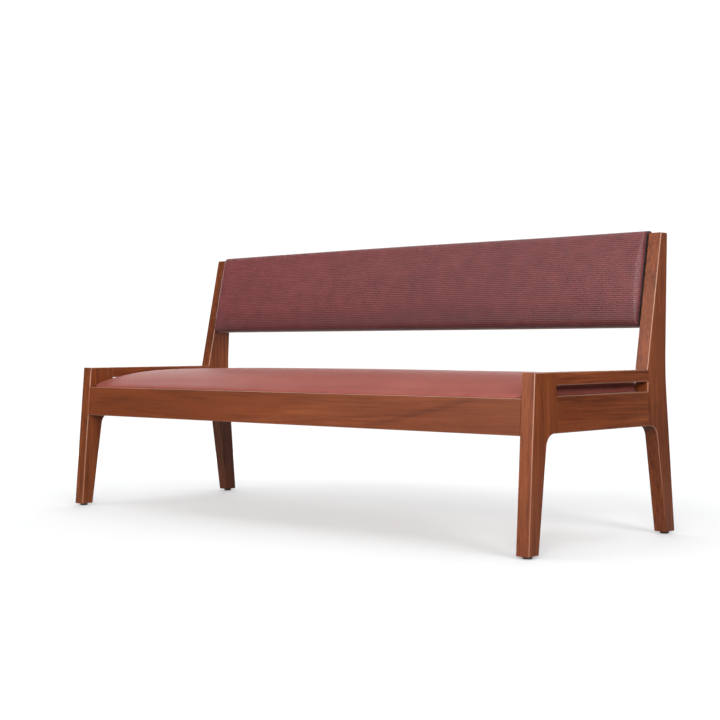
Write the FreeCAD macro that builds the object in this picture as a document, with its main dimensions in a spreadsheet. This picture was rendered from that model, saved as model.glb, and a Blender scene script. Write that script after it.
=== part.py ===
import FreeCAD, Part
import math
import os
import re

import Sketcher

# Upholstered church pew, 1.83 m long.  Two hardwood end frames (front leg, raked rear post, side rail and
# arm rail) are joined by a front and a rear rail.  The seat is a crowned pad on a plywood board, and the
# back is a second pad that hangs between the raked posts.
#
# Frame: +X along the bench, -Y to the front, +Z up; the origin is on the floor, midway between the feet.

SIZES = {
    # overall
    "length": 1830.0,
    "end_thick": 40.0,
    "foot_half": 332.7,
    "arris": 3.0,
    "rail_arris": 2.0,
    "slot_arris": 2.2,
    # glides
    "glide_height": 6.4,
    "glide_radius": 12.0,
    "glide_toe": 10.4,
    "glide_lip": 1.6,
    "nail_radius": 1.7,
    "nail_bore": 1.85,
    "nail_head": 4.0,
    "nail_cup": 4.3,
    "nail_cap": 1.6,
    "nail_reach": 24.0,
    # front leg
    "leg_foot_back": 291.6,
    "leg_top_front": 300.4,
    "leg_top": 447.3,
    "leg_back_rake": 0.14,
    "leg_front_rake": 0.0733,
    "joint_front": 209.9,
    "haunch_radius": 35.0,
    # rear post
    "post_foot_front": 291.5,
    "post_front_rake": 0.1508,
    "joint_back": 207.1,
    "back_lean": 11.95,
    "post_top": 820.8,
    "post_top_front": 286.15,
    "post_top_back": 318.0,
    "knee_out": 297.7,
    "knee_up": 440.0,
    "knee_radius": 900.0,
    # side frame rails
    "side_low": 296.2,
    "slot_low": 388.5,
    "slot_high": 414.3,
    # long rails
    "rail_low": 293.2,
    "rail_high": 384.2,
    "rail_inner": 278.5,
    "rail_set": 0.8,
    "rear_rail_front": 238.0,
    "rear_rail_back": 263.0,
    # cross rails
    "cross_place": 290.0,
    "cross_thick": 28.0,
    "cross_low": 324.2,
    # corner blocks
    "block_side": 45.0,
    # dowels
    "dowel_radius": 5.0,
    "dowel_half": 25.0,
    "dowel_bore": 5.1,
    "dowel_deep": 26.0,
    "peg_radius": 4.0,
    "peg_half": 19.0,
    "peg_bore": 4.1,
    "peg_deep": 20.0,
    "side_dowel_low": 320.0,
    "side_dowel_high": 364.0,
    "arm_dowel_up": 430.8,
    "arm_dowel_apart": 9.0,
    "rail_dowel_low": 314.0,
    "rail_dowel_high": 363.0,
    "rail_dowel_in": 12.5,
    "peg_low": 340.0,
    "peg_high": 369.0,
    # wood screws
    "screw_radius": 2.5,
    "screw_bore": 2.6,
    "screw_head": 4.6,
    "screw_cap": 3.0,
    "drive_across": 1.7,
    "drive_floor": 0.35,
    "block_screw_long": 62.0,
    "block_screw_low": 355.0,
    "block_screw_high": 373.0,
    "block_screw_in": 32.0,
    "seat_screw_long": 67.0,
    "seat_screw_side": 39.0,
    "seat_screw_front": 12.5,
    "seat_screw_rear": 33.0,
    "cross_screw_front": 150.0,
    "cross_screw_rear": 110.0,
    # frame bolts
    "bolt_radius": 4.0,
    "bolt_bore": 4.3,
    "bolt_long": 60.0,
    "bolt_head": 7.5,
    "bolt_cap": 5.3,
    "washer_radius": 8.5,
    "washer_thick": 1.6,
    "insert_radius": 6.0,
    "insert_bore": 4.1,
    "insert_long": 18.0,
    "insert_hole": 6.1,
    "insert_deep": 18.5,
    "bolt_up": 339.0,
    "bolt_front": 30.5,
    "bolt_rear": 15.0,
    # seat pad
    "board_thick": 9.0,
    "board_inset": 16.0,
    "board_corner": 30.0,
    "seat_half": 872.0,
    "seat_front": 303.0,
    "seat_back": 262.0,
    "skin": 1.5,
    "slack": 0.3,
    "seat_lift": 0.3,
    "roll_up": 394.0,
    "roll_end": 0.6,
    "roll_deep": 9.0,
    "brow_up": 418.0,
    "brow_end": 3.0,
    "brow_deep": 80.0,
    "dome_up": 436.0,
    "dome_end": 60.0,
    "dome_deep": 165.0,
    "crown_up": 444.4,
    "crown_end": 330.0,
    "crown_deep": 235.0,
    # back pad, measured in the leaning plane of the post fronts
    "pad_half": 871.0,
    "pad_low": 121.5,
    "pad_high": 388.0,
    "pad_rear": 27.0,
    "pad_edge": 10.0,
    "pad_crown": 25.0,
    "pad_round": 42.0,
    "pad_round_side": 42.0,
    "back_board_thick": 15.0,
    "panel_thick": 3.0,
    "panel_inset": 5.0,
    # back fixings
    "pin_radius": 4.0,
    "pin_bore": 4.15,
    "pin_up": 350.0,
    "pin_in": 21.0,
    "pin_out": 16.0,
    "plate_thick": 3.0,
    "plate_low": 150.0,
    "plate_tall": 40.0,
    "plate_wide": 35.0,
    "plate_deep": 24.0,
    "tack_radius": 2.0,
    "tack_bore": 2.1,
    "tack_head": 4.0,
    "tack_cap": 2.4,
    "tack_long": 18.0,
    "tack_margin": 10.0,
    "tack_across": 14.0,
}

doc = FreeCAD.newDocument("pew")
sheet = doc.addObject("Spreadsheet::Sheet", "sizes")
for row, (alias, number) in enumerate(SIZES.items(), 1):
    sheet.set("A%d" % row, alias)
    sheet.set("B%d" % row, "%.10g" % number)
    sheet.setAlias("B%d" % row, alias)
doc.recompute()

SUBPARTS = []


def bound(text):
    """The same formula with each size read from the sheet."""
    return re.sub(r"[A-Za-z_]+", lambda m: "sizes." + m.group(0) if m.group(0) in SIZES else m.group(0), text)


def value(text):
    """The number a formula of plain sums and products stands for."""
    total = 0.0
    for sign, term in re.findall(r"([+-]?)\s*([^+-]+)", text):
        product = 1.0
        for op, factor in re.findall(r"([*/]?)\s*([A-Za-z_]+|[0-9.]+)", term):
            number = SIZES[factor] if factor in SIZES else float(factor)
            product = product / number if op == "/" else product * number
        total += -product if sign == "-" else product
    return total


def split(item):
    """(formula, first guess) of a formula, or of a pair that already carries its guess."""
    return item if isinstance(item, tuple) else (item, value(item))


def body(label):
    made = doc.addObject("PartDesign::Body", label)
    made.Label = label
    SUBPARTS.append(made)
    return made


def sketch_on(owner, role, offset, name):
    """An empty sketch on one of the body's own origin planes, moved along the plane's normal."""
    plane = [f for f in owner.Origin.OriginFeatures if f.Role == role][0]
    made = owner.newObject("Sketcher::SketchObject", name)
    made.AttachmentSupport = [(plane, "")]
    made.MapMode = "FlatFace"
    formula, guess = split(offset)
    made.AttachmentOffset = FreeCAD.Placement(FreeCAD.Vector(0, 0, guess), FreeCAD.Rotation())
    made.setExpression("AttachmentOffset.Base.z", bound(formula))
    return made


def outline(sketch, corners):
    """A closed polygon whose corners are each tied to the sheet."""
    count = len(corners)
    spots = [(split(a), split(b)) for a, b in corners]
    for i in range(count):
        (_, ax), (_, ay) = spots[i]
        (_, bx), (_, by) = spots[(i + 1) % count]
        sketch.addGeometry(Part.LineSegment(FreeCAD.Vector(ax, ay, 0), FreeCAD.Vector(bx, by, 0)), False)
    for i in range(count):
        sketch.addConstraint(Sketcher.Constraint("Coincident", i, 2, (i + 1) % count, 1))
    for i in range(count):
        (fx, gx), (fy, gy) = spots[i]
        k = sketch.addConstraint(Sketcher.Constraint("DistanceX", -1, 1, i, 1, gx))
        sketch.setExpression("Constraints[%d]" % k, bound(fx))
        k = sketch.addConstraint(Sketcher.Constraint("DistanceY", -1, 1, i, 1, gy))
        sketch.setExpression("Constraints[%d]" % k, bound(fy))


def circles(sketch, centres, radius):
    for i, (a, b) in enumerate(centres):
        (fx, gx), (fy, gy) = split(a), split(b)
        sketch.addGeometry(Part.Circle(FreeCAD.Vector(gx, gy, 0), FreeCAD.Vector(0, 0, 1), value(radius)), False)
        k = sketch.addConstraint(Sketcher.Constraint("DistanceX", -1, 1, i, 3, gx))
        sketch.setExpression("Constraints[%d]" % k, bound(fx))
        k = sketch.addConstraint(Sketcher.Constraint("DistanceY", -1, 1, i, 3, gy))
        sketch.setExpression("Constraints[%d]" % k, bound(fy))
        k = sketch.addConstraint(Sketcher.Constraint("Radius", i, value(radius)))
        sketch.setExpression("Constraints[%d]" % k, bound(radius))


def pad(owner, role, offset, corners, long, backwards=False):
    made = sketch_on(owner, role, offset, owner.Label + "_profile")
    outline(made, corners)
    feature = owner.newObject("PartDesign::Pad", owner.Label + "_pad")
    feature.Profile = made
    feature.Length = abs(value(long))
    feature.setExpression("Length", bound(long))
    feature.Reversed = backwards
    owner.Tip = feature
    doc.recompute()
    return feature


# A pocket cuts against its sketch's normal.  The normals of the three origin planes are +X, -Y and +Z.
PLANES = {"X": ("YZ_Plane", 1, -1), "Y": ("XZ_Plane", -1, 1), "Z": ("XY_Plane", 1, -1)}


def bore(owner, axis, start, way, centres, radius, deep, name):
    """Round blind holes along an axis of the body, from the level start, in the direction way."""
    role, side, natural = PLANES[axis]
    formula, guess = split(start)
    if side < 0:
        formula, guess = "-1*(" + formula + ")", -guess
    made = sketch_on(owner, role, (formula, guess), owner.Label + "_" + name + "_centres")
    circles(made, centres, radius)
    feature = owner.newObject("PartDesign::Pocket", owner.Label + "_" + name)
    feature.Profile = made
    feature.Length = value(deep)
    feature.setExpression("Length", bound(deep))
    feature.Reversed = way != natural
    owner.Tip = feature
    doc.recompute()
    return feature


def round_edges(owner, radius, keep, name):
    """A fillet on each edge of the body for which keep(edge) is true."""
    base = owner.Tip
    names = ["Edge%d" % (i + 1) for i, edge in enumerate(base.Shape.Edges) if keep(edge)]
    feature = owner.newObject("PartDesign::Fillet", owner.Label + "_" + name)
    feature.Base = (base, names)
    feature.Radius = value(radius)
    feature.setExpression("Radius", bound(radius))
    owner.Tip = feature
    doc.recompute()
    return feature


def notch(owner, start, corners, deep, name):
    """Takes an upright prism out of a body: the eased corner where a slot ends."""
    made = sketch_on(owner, "XY_Plane", start, owner.Label + "_" + name + "_corner")
    outline(made, corners)
    feature = owner.newObject("PartDesign::Pocket", owner.Label + "_" + name)
    feature.Profile = made
    feature.Length = value(deep)
    feature.setExpression("Length", bound(deep))
    feature.Reversed = True
    owner.Tip = feature
    doc.recompute()
    return feature


def ends(edge):
    return [vertex.Point for vertex in edge.Vertexes]


def flat_in_x(edge):
    points = ends(edge)
    return max(p.x for p in points) - min(p.x for p in points) < 1e-4


def along_x(edge):
    points = ends(edge)
    return len(points) == 2 and abs(points[0].y - points[1].y) < 1e-4 and abs(points[0].z - points[1].z) < 1e-4


def upright(edge):
    points = ends(edge)
    return len(points) == 2 and abs(points[0].x - points[1].x) < 1e-4 and abs(points[0].y - points[1].y) < 1e-4


def all_at(edge, axis, level):
    return all(abs(getattr(p, axis) - level) < 1e-3 for p in ends(edge))


def place(owner, x=None, y=None, z=None, lean=False):
    """Ties an object's placement to the sheet."""
    base = [split(v)[1] if v is not None else 0.0 for v in (x, y, z)]
    owner.Placement = FreeCAD.Placement(FreeCAD.Vector(*base), owner.Placement.Rotation)
    for axis, item in zip("xyz", (x, y, z)):
        if item is not None:
            owner.setExpression("Placement.Base." + axis, bound(split(item)[0]))
    if lean:
        owner.Placement = FreeCAD.Placement(
            owner.Placement.Base, FreeCAD.Rotation(FreeCAD.Vector(-1, 0, 0), SIZES["back_lean"])
        )
        owner.setExpression("Placement.Rotation.Angle", bound("back_lean"))


def lean_over(owner):
    """Stands a body, built upright, on the leaning plane of the post fronts."""
    place(owner, y="joint_back", z="leg_top", lean=True)


TURNS = {
    "X": FreeCAD.Rotation(FreeCAD.Vector(0, 1, 0), 90),
    "-X": FreeCAD.Rotation(FreeCAD.Vector(0, 1, 0), -90),
    "Y": FreeCAD.Rotation(FreeCAD.Vector(1, 0, 0), -90),
    "-Y": FreeCAD.Rotation(FreeCAD.Vector(1, 0, 0), 90),
    "Z": FreeCAD.Rotation(),
    "-Z": FreeCAD.Rotation(FreeCAD.Vector(1, 0, 0), 180),
}


def rod(name, way, x, y, z, radius, long):
    """A plain cylinder that starts at the point and runs the way named."""
    made = doc.addObject("Part::Cylinder", name)
    made.Radius = value(radius)
    made.setExpression("Radius", bound(radius))
    made.Height = value(long)
    made.setExpression("Height", bound(long))
    made.Placement = FreeCAD.Placement(FreeCAD.Vector(), TURNS[way])
    place(made, x, y, z)
    return made


def group(label, members):
    """One node of identical fasteners, each a solid of its own."""
    made = doc.addObject("Part::Compound", label)
    made.Label = label
    made.Links = members
    SUBPARTS.append(made)
    return made


def further(formula, sign, extra):
    """formula moved by extra in the direction sign, with the first guess moved too."""
    text, guess = split(formula)
    return ("%s %s (%s)" % (text, "+" if sign > 0 else "-", extra), guess + sign * value(extra))


def screw(name, way, x, y, z, radius, long, head, cap, drive=True):
    """A pan-headed screw: the shank runs the way named from the point, and the head stands behind it."""
    back = {"X": "-X", "-X": "X", "Y": "-Y", "-Y": "Y", "Z": "-Z", "-Z": "Z"}[way]
    shank = rod(name + "_shank", way, x, y, z, radius, long)
    top = rod(name + "_head", back, x, y, z, head, cap)
    made = doc.addObject("Part::Fuse", name)
    made.Base = shank
    made.Tool = top
    if not drive:
        return made
    # a square drive recess, sunk two thirds of the head's height from its outer face
    spot = [x, y, z]
    axis = "XYZ".index(way[-1])
    spot[axis] = further(spot[axis], -1 if len(back) == 2 else 1, "drive_floor*%s" % cap)
    socket = doc.addObject("Part::Prism", name + "_drive")
    socket.Polygon = 4
    socket.setExpression("Circumradius", bound("drive_across"))
    socket.setExpression("Height", bound(cap))
    socket.Placement = FreeCAD.Placement(FreeCAD.Vector(), TURNS[back])
    place(socket, *spot)
    driven = doc.addObject("Part::Cut", name + "_driven")
    driven.Base = made
    driven.Tool = socket
    return driven


# Inner and outer faces of the end frames, on the side of +X (1) or -X (-1).
SIDES = (("left", -1), ("right", 1))
INNER = "length/2 - end_thick"


def sided(side, formula):
    """formula on the right-hand side, its mirror image on the left."""
    text, guess = split(formula)
    return (text, guess) if side > 0 else ("-1*(" + text + ")", -guess)


def end_piece(label, side, corners):
    """A piece of an end frame: its side view, as thick as the frame."""
    made = body(label)
    start = sided(side, INNER)
    pad(made, "YZ_Plane", start, corners, "end_thick", backwards=side < 0)
    return made


LEAN = math.radians(SIZES["back_lean"])


def on_lean(up, back):
    """Y and Z of a point given in the leaning plane: up the slope, and back from it."""
    y = (
        "joint_back + sin(back_lean*1deg)*(%s) + cos(back_lean*1deg)*(%s)" % (up, back),
        SIZES["joint_back"] + math.sin(LEAN) * value(up) + math.cos(LEAN) * value(back),
    )
    z = (
        "leg_top + cos(back_lean*1deg)*(%s) - sin(back_lean*1deg)*(%s)" % (up, back),
        SIZES["leg_top"] + math.cos(LEAN) * value(up) - math.sin(LEAN) * value(back),
    )
    return y, z


# ---- end frames ------------------------------------------------------------------------------------------

joint_front = SIZES["joint_front"]
joint_back = SIZES["joint_back"]

for hand, side in SIDES:
    middle = sided(side, "length/2 - end_thick/2")
    near = sided(side, "length/2 - end_thick/2 - arm_dowel_apart")
    far = sided(side, "length/2 - end_thick/2 + arm_dowel_apart")
    inner = sided(side, INNER)

    # Front leg: raked front, tapered foot, and a haunch that sweeps into the side rail.
    leg = end_piece(
        hand + "_front_leg",
        side,
        [
            ("-foot_half", "glide_height"),
            ("-leg_foot_back", "glide_height"),
            ("-leg_foot_back + leg_back_rake*side_low - leg_back_rake*glide_height", "side_low"),
            ("-joint_front", "side_low"),
            ("-joint_front", "leg_top"),
            ("-leg_top_front", "leg_top"),
        ],
    )
    crook = value("-leg_foot_back + leg_back_rake*side_low - leg_back_rake*glide_height")
    round_edges(
        leg,
        "haunch_radius",
        lambda e: along_x(e) and all_at(e, "y", crook) and all_at(e, "z", SIZES["side_low"]),
        "haunch",
    )
    round_edges(
        leg,
        "arris",
        lambda e: (flat_in_x(e) and not all_at(e, "y", -joint_front))
        or (along_x(e) and all_at(e, "z", SIZES["leg_top"]) and all_at(e, "y", -SIZES["leg_top_front"])),
        "arris",
    )
    bore(leg, "Y", "-joint_front", -1, [(middle, "side_dowel_low"), (middle, "side_dowel_high"), (near, "arm_dowel_up"), (far, "arm_dowel_up")], "dowel_bore", "dowel_deep", "side_dowel_holes")
    bore(leg, "X", inner, side, [("-rail_inner - rail_dowel_in", "rail_dowel_low"), ("-rail_inner - rail_dowel_in", "rail_dowel_high")], "dowel_bore", "dowel_deep", "rail_dowel_holes")
    bore(leg, "X", inner, side, [("-rail_inner + bolt_front", "bolt_up")], "insert_hole", "insert_deep", "insert_hole")
    bore(leg, "Z", "glide_height", 1, [(middle, "-foot_half/2 - leg_foot_back/2")], "nail_bore", "nail_reach", "nail_hole")

    # Rear post: one piece from floor to top, upright to the seat and leaning back above it.
    post = end_piece(
        hand + "_rear_post",
        side,
        [
            ("foot_half", "glide_height"),
            ("knee_out", "knee_up"),
            ("post_top_back", "post_top"),
            ("post_top_front", "post_top"),
            ("joint_back", "leg_top"),
            ("joint_back", "side_low"),
            ("post_foot_front - post_front_rake*side_low + post_front_rake*glide_height", "side_low"),
            ("post_foot_front", "glide_height"),
        ],
    )
    crook_back = value("post_foot_front - post_front_rake*side_low + post_front_rake*glide_height")
    round_edges(
        post,
        "haunch_radius",
        lambda e: along_x(e) and all_at(e, "y", crook_back) and all_at(e, "z", SIZES["side_low"]),
        "haunch",
    )
    round_edges(post, "knee_radius", lambda e: along_x(e) and all_at(e, "z", SIZES["knee_up"]), "knee")
    round_edges(
        post,
        "arris",
        lambda e: (flat_in_x(e) and not all_at(e, "y", joint_back))
        or (along_x(e) and all_at(e, "z", SIZES["post_top"])),
        "arris",
    )
    for face, way, tag in ((sided(side, "length/2"), -side, "outer"), (inner, side, "inner")):
        notch(
            leg,
            "slot_low",
            [(face, "-joint_front"), (further(face, way, "slot_arris"), "-joint_front"), (face, "-joint_front - slot_arris")],
            "slot_high - slot_low",
            tag + "_slot_end",
        )
        notch(
            post,
            "slot_low",
            [(face, "joint_back"), (further(face, way, "slot_arris"), "joint_back"), (face, "joint_back + slot_arris")],
            "slot_high - slot_low",
            tag + "_slot_end",
        )
    bore(post, "Y", "joint_back", 1, [(middle, "side_dowel_low"), (middle, "side_dowel_high"), (near, "arm_dowel_up"), (far, "arm_dowel_up")], "dowel_bore", "dowel_deep", "side_dowel_holes")
    bore(post, "X", inner, side, [("rear_rail_front + rail_dowel_in", "rail_dowel_low"), ("rear_rail_front + rail_dowel_in", "rail_dowel_high")], "dowel_bore", "dowel_deep", "rail_dowel_holes")
    bore(post, "X", inner, side, [("rear_rail_front - bolt_rear", "bolt_up")], "insert_hole", "insert_deep", "insert_hole")
    bore(post, "Z", "glide_height", 1, [(middle, "foot_half/2 + post_foot_front/2")], "nail_bore", "nail_reach", "nail_hole")
    bore(post, "X", inner, side, [on_lean("pin_up", "pad_rear - back_board_thick/2")], "pin_bore", "pin_out", "pin_hole")
    bore(
        post,
        "X",
        inner,
        side,
        [on_lean("plate_low + tack_margin", "pad_rear + panel_thick + tack_across"), on_lean("plate_low + plate_tall - tack_margin", "pad_rear + panel_thick + tack_across")],
        "tack_bore",
        "tack_long",
        "bracket_screw_holes",
    )

    # Side rail and arm rail, with the open slot between them.
    for label, low, high, holes in (
        ("_side_rail", "side_low", "slot_low", [(middle, "side_dowel_low"), (middle, "side_dowel_high")]),
        ("_arm_rail", "slot_high", "leg_top", [(near, "arm_dowel_up"), (far, "arm_dowel_up")]),
    ):
        rail = end_piece(
            hand + label,
            side,
            [("-joint_front", low), ("joint_back", low), ("joint_back", high), ("-joint_front", high)],
        )
        round_edges(
            rail,
            "arris",
            lambda e: flat_in_x(e) and not all_at(e, "y", -joint_front) and not all_at(e, "y", joint_back),
            "arris",
        )
        bore(rail, "Y", "-joint_front", 1, holes, "dowel_bore", "dowel_deep", "front_dowel_holes")
        bore(rail, "Y", "joint_back", -1, holes, "dowel_bore", "dowel_deep", "rear_dowel_holes")

# ---- long rails, cross rails and corner blocks -------------------------------------------------------------

front_rail = body("front_rail")
pad(
    front_rail,
    "YZ_Plane",
    "-length/2 + end_thick",
    [
        ("-foot_half + leg_front_rake*rail_low - leg_front_rake*glide_height + rail_set", "rail_low"),
        ("-rail_inner", "rail_low"),
        ("-rail_inner", "rail_high"),
        ("-foot_half + leg_front_rake*rail_high - leg_front_rake*glide_height + rail_set", "rail_high"),
    ],
    "length - 2*end_thick",
)
round_edges(front_rail, "rail_arris", along_x, "arris")

rear_rail = body("rear_rail")
pad(
    rear_rail,
    "YZ_Plane",
    "-length/2 + end_thick",
    [
        ("rear_rail_front", "rail_low"),
        ("rear_rail_back", "rail_low"),
        ("rear_rail_back", "rail_high"),
        ("rear_rail_front", "rail_high"),
    ],
    "length - 2*end_thick",
)
round_edges(rear_rail, "rail_arris", along_x, "arris")

for rail, level in ((front_rail, "-rail_inner - rail_dowel_in"), (rear_rail, "rear_rail_front + rail_dowel_in")):
    for hand, side in SIDES:
        bore(rail, "X", sided(side, INNER), -side, [(level, "rail_dowel_low"), (level, "rail_dowel_high")], "dowel_bore", "dowel_deep", hand + "_dowel_holes")

PEGS = [(sided(side, "cross_place"), up) for _, side in SIDES for up in ("peg_low", "peg_high")]
BLOCK_SCREWS = [(sided(side, "length/2 - end_thick - block_screw_in"), up) for _, side in SIDES for up in ("block_screw_low", "block_screw_high")]
bore(front_rail, "Y", "-rail_inner", -1, PEGS, "peg_bore", "peg_deep", "cross_peg_holes")
bore(front_rail, "Y", "-rail_inner", -1, BLOCK_SCREWS, "screw_bore", "block_screw_long - block_side", "block_screw_holes")
bore(rear_rail, "Y", "rear_rail_front", 1, PEGS, "peg_bore", "peg_deep", "cross_peg_holes")
bore(rear_rail, "Y", "rear_rail_front", 1, BLOCK_SCREWS, "screw_bore", "block_screw_long - block_side", "block_screw_holes")

for hand, side in SIDES:
    cross = body(hand + "_cross_rail")
    low_x = sided(side, "cross_place")
    pad(
        cross,
        "YZ_Plane",
        further(low_x, -1, "cross_thick/2"),
        [
            ("-rail_inner", "cross_low"),
            ("rear_rail_front", "cross_low"),
            ("rear_rail_front", "rail_high"),
            ("-rail_inner", "rail_high"),
        ],
        "cross_thick",
    )
    pegs = [(low_x, "peg_low"), (low_x, "peg_high")]
    bore(cross, "Y", "-rail_inner", 1, pegs, "peg_bore", "peg_deep", "front_peg_holes")
    bore(cross, "Y", "rear_rail_front", -1, pegs, "peg_bore", "peg_deep", "rear_peg_holes")
    bore(cross, "Z", "cross_low", 1, [(low_x, "-cross_screw_front"), (low_x, "cross_screw_rear")], "screw_bore", "rail_high - cross_low", "seat_screw_holes")

BLOCKS = {
    # low y, high y, y of the face against the long rail, way to the open face, bolt y, seat screw y
    "front": ("-rail_inner", "-rail_inner + block_side", "-rail_inner + bolt_front", "-rail_inner + seat_screw_front"),
    "rear": ("rear_rail_front - block_side", "rear_rail_front", "rear_rail_front - bolt_rear", "rear_rail_front - seat_screw_rear"),
}
for end, (low_y, high_y, bolt_y, seat_y) in BLOCKS.items():
    for hand, side in SIDES:
        block = body(end + "_" + hand + "_corner_block")
        inner = sided(side, INNER)
        pad(
            block,
            "XY_Plane",
            "cross_low",
            [
                (inner, low_y),
                (sided(side, "length/2 - end_thick - block_side"), low_y),
                (sided(side, "length/2 - end_thick - block_side"), high_y),
                (inner, high_y),
            ],
            "rail_high - cross_low",
        )
        screws = [(sided(side, "length/2 - end_thick - block_screw_in"), up) for up in ("block_screw_low", "block_screw_high")]
        bore(block, "Y", low_y, 1, screws, "screw_bore", "block_side", "rail_screw_holes")
        bore(block, "X", sided(side, "length/2 - end_thick - block_side"), side, [(bolt_y, "bolt_up")], "bolt_bore", "block_side", "bolt_hole")
        bore(block, "Z", "cross_low", 1, [(sided(side, "length/2 - end_thick - seat_screw_side"), seat_y)], "screw_bore", "rail_high - cross_low", "seat_screw_hole")

# ---- seat: plywood board, foam and vinyl cover --------------------------------------------------------------

SEAT_SCREWS = [(sided(side, "length/2 - end_thick - seat_screw_side"), BLOCKS[end][3]) for end in BLOCKS for _, side in SIDES]
SEAT_SCREWS += [(sided(side, "cross_place"), y) for _, side in SIDES for y in ("-cross_screw_front", "cross_screw_rear")]



def board_blank(owner, start, thick, wider=False):
    """The seat board's outline with rounded corners, or one wider by the slack all round."""
    low, high = (" - slack", " + slack") if wider else ("", "")
    pad(
        owner,
        "XY_Plane",
        start,
        [
            ("-seat_half + board_inset" + low, "-seat_front + board_inset" + low),
            ("seat_half - board_inset" + high, "-seat_front + board_inset" + low),
            ("seat_half - board_inset" + high, "seat_back - board_inset" + high),
            ("-seat_half + board_inset" + low, "seat_back - board_inset" + high),
        ],
        thick,
    )
    round_edges(owner, "board_corner", upright, "corners")


board = body("seat_board")
board_blank(board, "rail_high", "board_thick")
bore(board, "Z", "rail_high", 1, SEAT_SCREWS, "screw_bore", "seat_screw_long - rail_high + cross_low + slack", "seat_screw_holes")


# Level, and inset of the ends and of the long sides, at each step of the crown.
STEPS = (
    ("roll_up", "roll_end", "roll_deep"),
    ("brow_up", "brow_end", "brow_deep"),
    ("dome_up", "dome_end", "dome_deep"),
    ("crown_up", "crown_end", "crown_deep"),
)


def crowned(name, low, shrink, drop):
    """A crowned pad as a stack of frustums: steep at the ends, a long gentle rise from front and rear."""
    pieces = []
    base, end, deep = low, "0", "0"
    for step in STEPS:
        top = "%s - (%s)" % (step[0], drop)
        wedge = doc.addObject("Part::Wedge", name + "_" + step[0].split("_")[0])
        wedge.Placement = FreeCAD.Placement(FreeCAD.Vector(), FreeCAD.Rotation(FreeCAD.Vector(1, 0, 0), 90))
        for prop, formula in (
            ("Ymin", "0"),
            ("Ymax", "%s - (%s)" % (top, base)),
            ("Xmin", "-seat_half + (%s) + (%s)" % (shrink, end)),
            ("Xmax", "seat_half - (%s) - (%s)" % (shrink, end)),
            ("X2min", "-seat_half + (%s) + (%s)" % (shrink, step[1])),
            ("X2max", "seat_half - (%s) - (%s)" % (shrink, step[1])),
            ("Zmin", "-seat_back + (%s) + (%s)" % (shrink, deep)),
            ("Zmax", "seat_front - (%s) - (%s)" % (shrink, deep)),
            ("Z2min", "-seat_back + (%s) + (%s)" % (shrink, step[2])),
            ("Z2max", "seat_front - (%s) - (%s)" % (shrink, step[2])),
        ):
            wedge.setExpression(prop, bound(formula))
        wedge.setExpression("Placement.Base.z", bound(base))
        pieces.append(wedge)
        base, end, deep = top, step[1], step[2]
    made = doc.addObject("Part::MultiFuse", name)
    made.Shapes = pieces
    made.Refine = True
    return made


# The foam wraps the board's edge, so the board's own space is taken out of it.
board_space = doc.addObject("PartDesign::Body", "seat_board_space")
board_blank(board_space, "rail_high - board_thick", "2*board_thick", wider=True)
foam = doc.addObject("Part::Cut", "seat_foam")
foam.Label = "seat_foam"
foam.Base = crowned("seat_foam_block", "rail_high", "skin + slack", "skin")
foam.Tool = board_space
SUBPARTS.append(foam)

cover = doc.addObject("Part::Cut", "seat_cover")
cover.Label = "seat_cover"
cover.Base = crowned("seat_skin_outside", "rail_high + seat_lift", "0", "0")
cover.Tool = crowned("seat_skin_inside", "rail_high", "skin", "skin - slack")
SUBPARTS.append(cover)

# ---- back: board, foam, cover and rear panel, all in the leaning plane ---------------------------------------


def upright_box(owner, shrink, front, rear):
    """A slab of the back: shrink in from the pad's outline, between two depths from the plane (rear positive)."""
    return pad(
        owner,
        "XY_Plane",
        "pad_low + " + shrink,
        [
            ("-pad_half + " + shrink, front),
            ("pad_half - " + shrink, front),
            ("pad_half - " + shrink, rear),
            ("-pad_half + " + shrink, rear),
        ],
        "pad_high - pad_low - 2*" + shrink,
    )


back_board = body("back_board")
pad(
    back_board,
    "XY_Plane",
    "pad_low + skin + slack",
    [
        ("-pad_half + skin + slack", "pad_rear - back_board_thick"),
        ("pad_half - skin - slack", "pad_rear - back_board_thick"),
        ("pad_half - skin - slack", "pad_rear"),
        ("-pad_half + skin + slack", "pad_rear"),
    ],
    "pad_high - pad_low - 2*skin - 2*slack",
)
for hand, side in SIDES:
    bore(back_board, "X", sided(side, "pad_half - skin - slack"), -side, [("pad_rear - back_board_thick/2", "pin_up")], "pin_bore", "pin_in", hand + "_pin_hole")
TACKS = [(sided(side, "length/2 - end_thick - plate_wide + tack_margin"), up) for _, side in SIDES for up in ("plate_low + tack_margin", "plate_low + plate_tall - tack_margin")]
bore(back_board, "Y", "pad_rear", -1, TACKS, "tack_bore", "tack_long - plate_thick - panel_thick + slack", "bracket_screw_holes")
lean_over(back_board)

rear_panel = body("back_rear_panel")
pad(
    rear_panel,
    "XY_Plane",
    "pad_low + panel_inset",
    [
        ("-pad_half + panel_inset", "pad_rear"),
        ("pad_half - panel_inset", "pad_rear"),
        ("pad_half - panel_inset", "pad_rear + panel_thick"),
        ("-pad_half + panel_inset", "pad_rear + panel_thick"),
    ],
    "pad_high - pad_low - 2*panel_inset",
)
bore(rear_panel, "Y", "pad_rear + panel_thick", -1, TACKS, "tack_bore", "panel_thick", "bracket_screw_holes")
lean_over(rear_panel)


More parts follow.
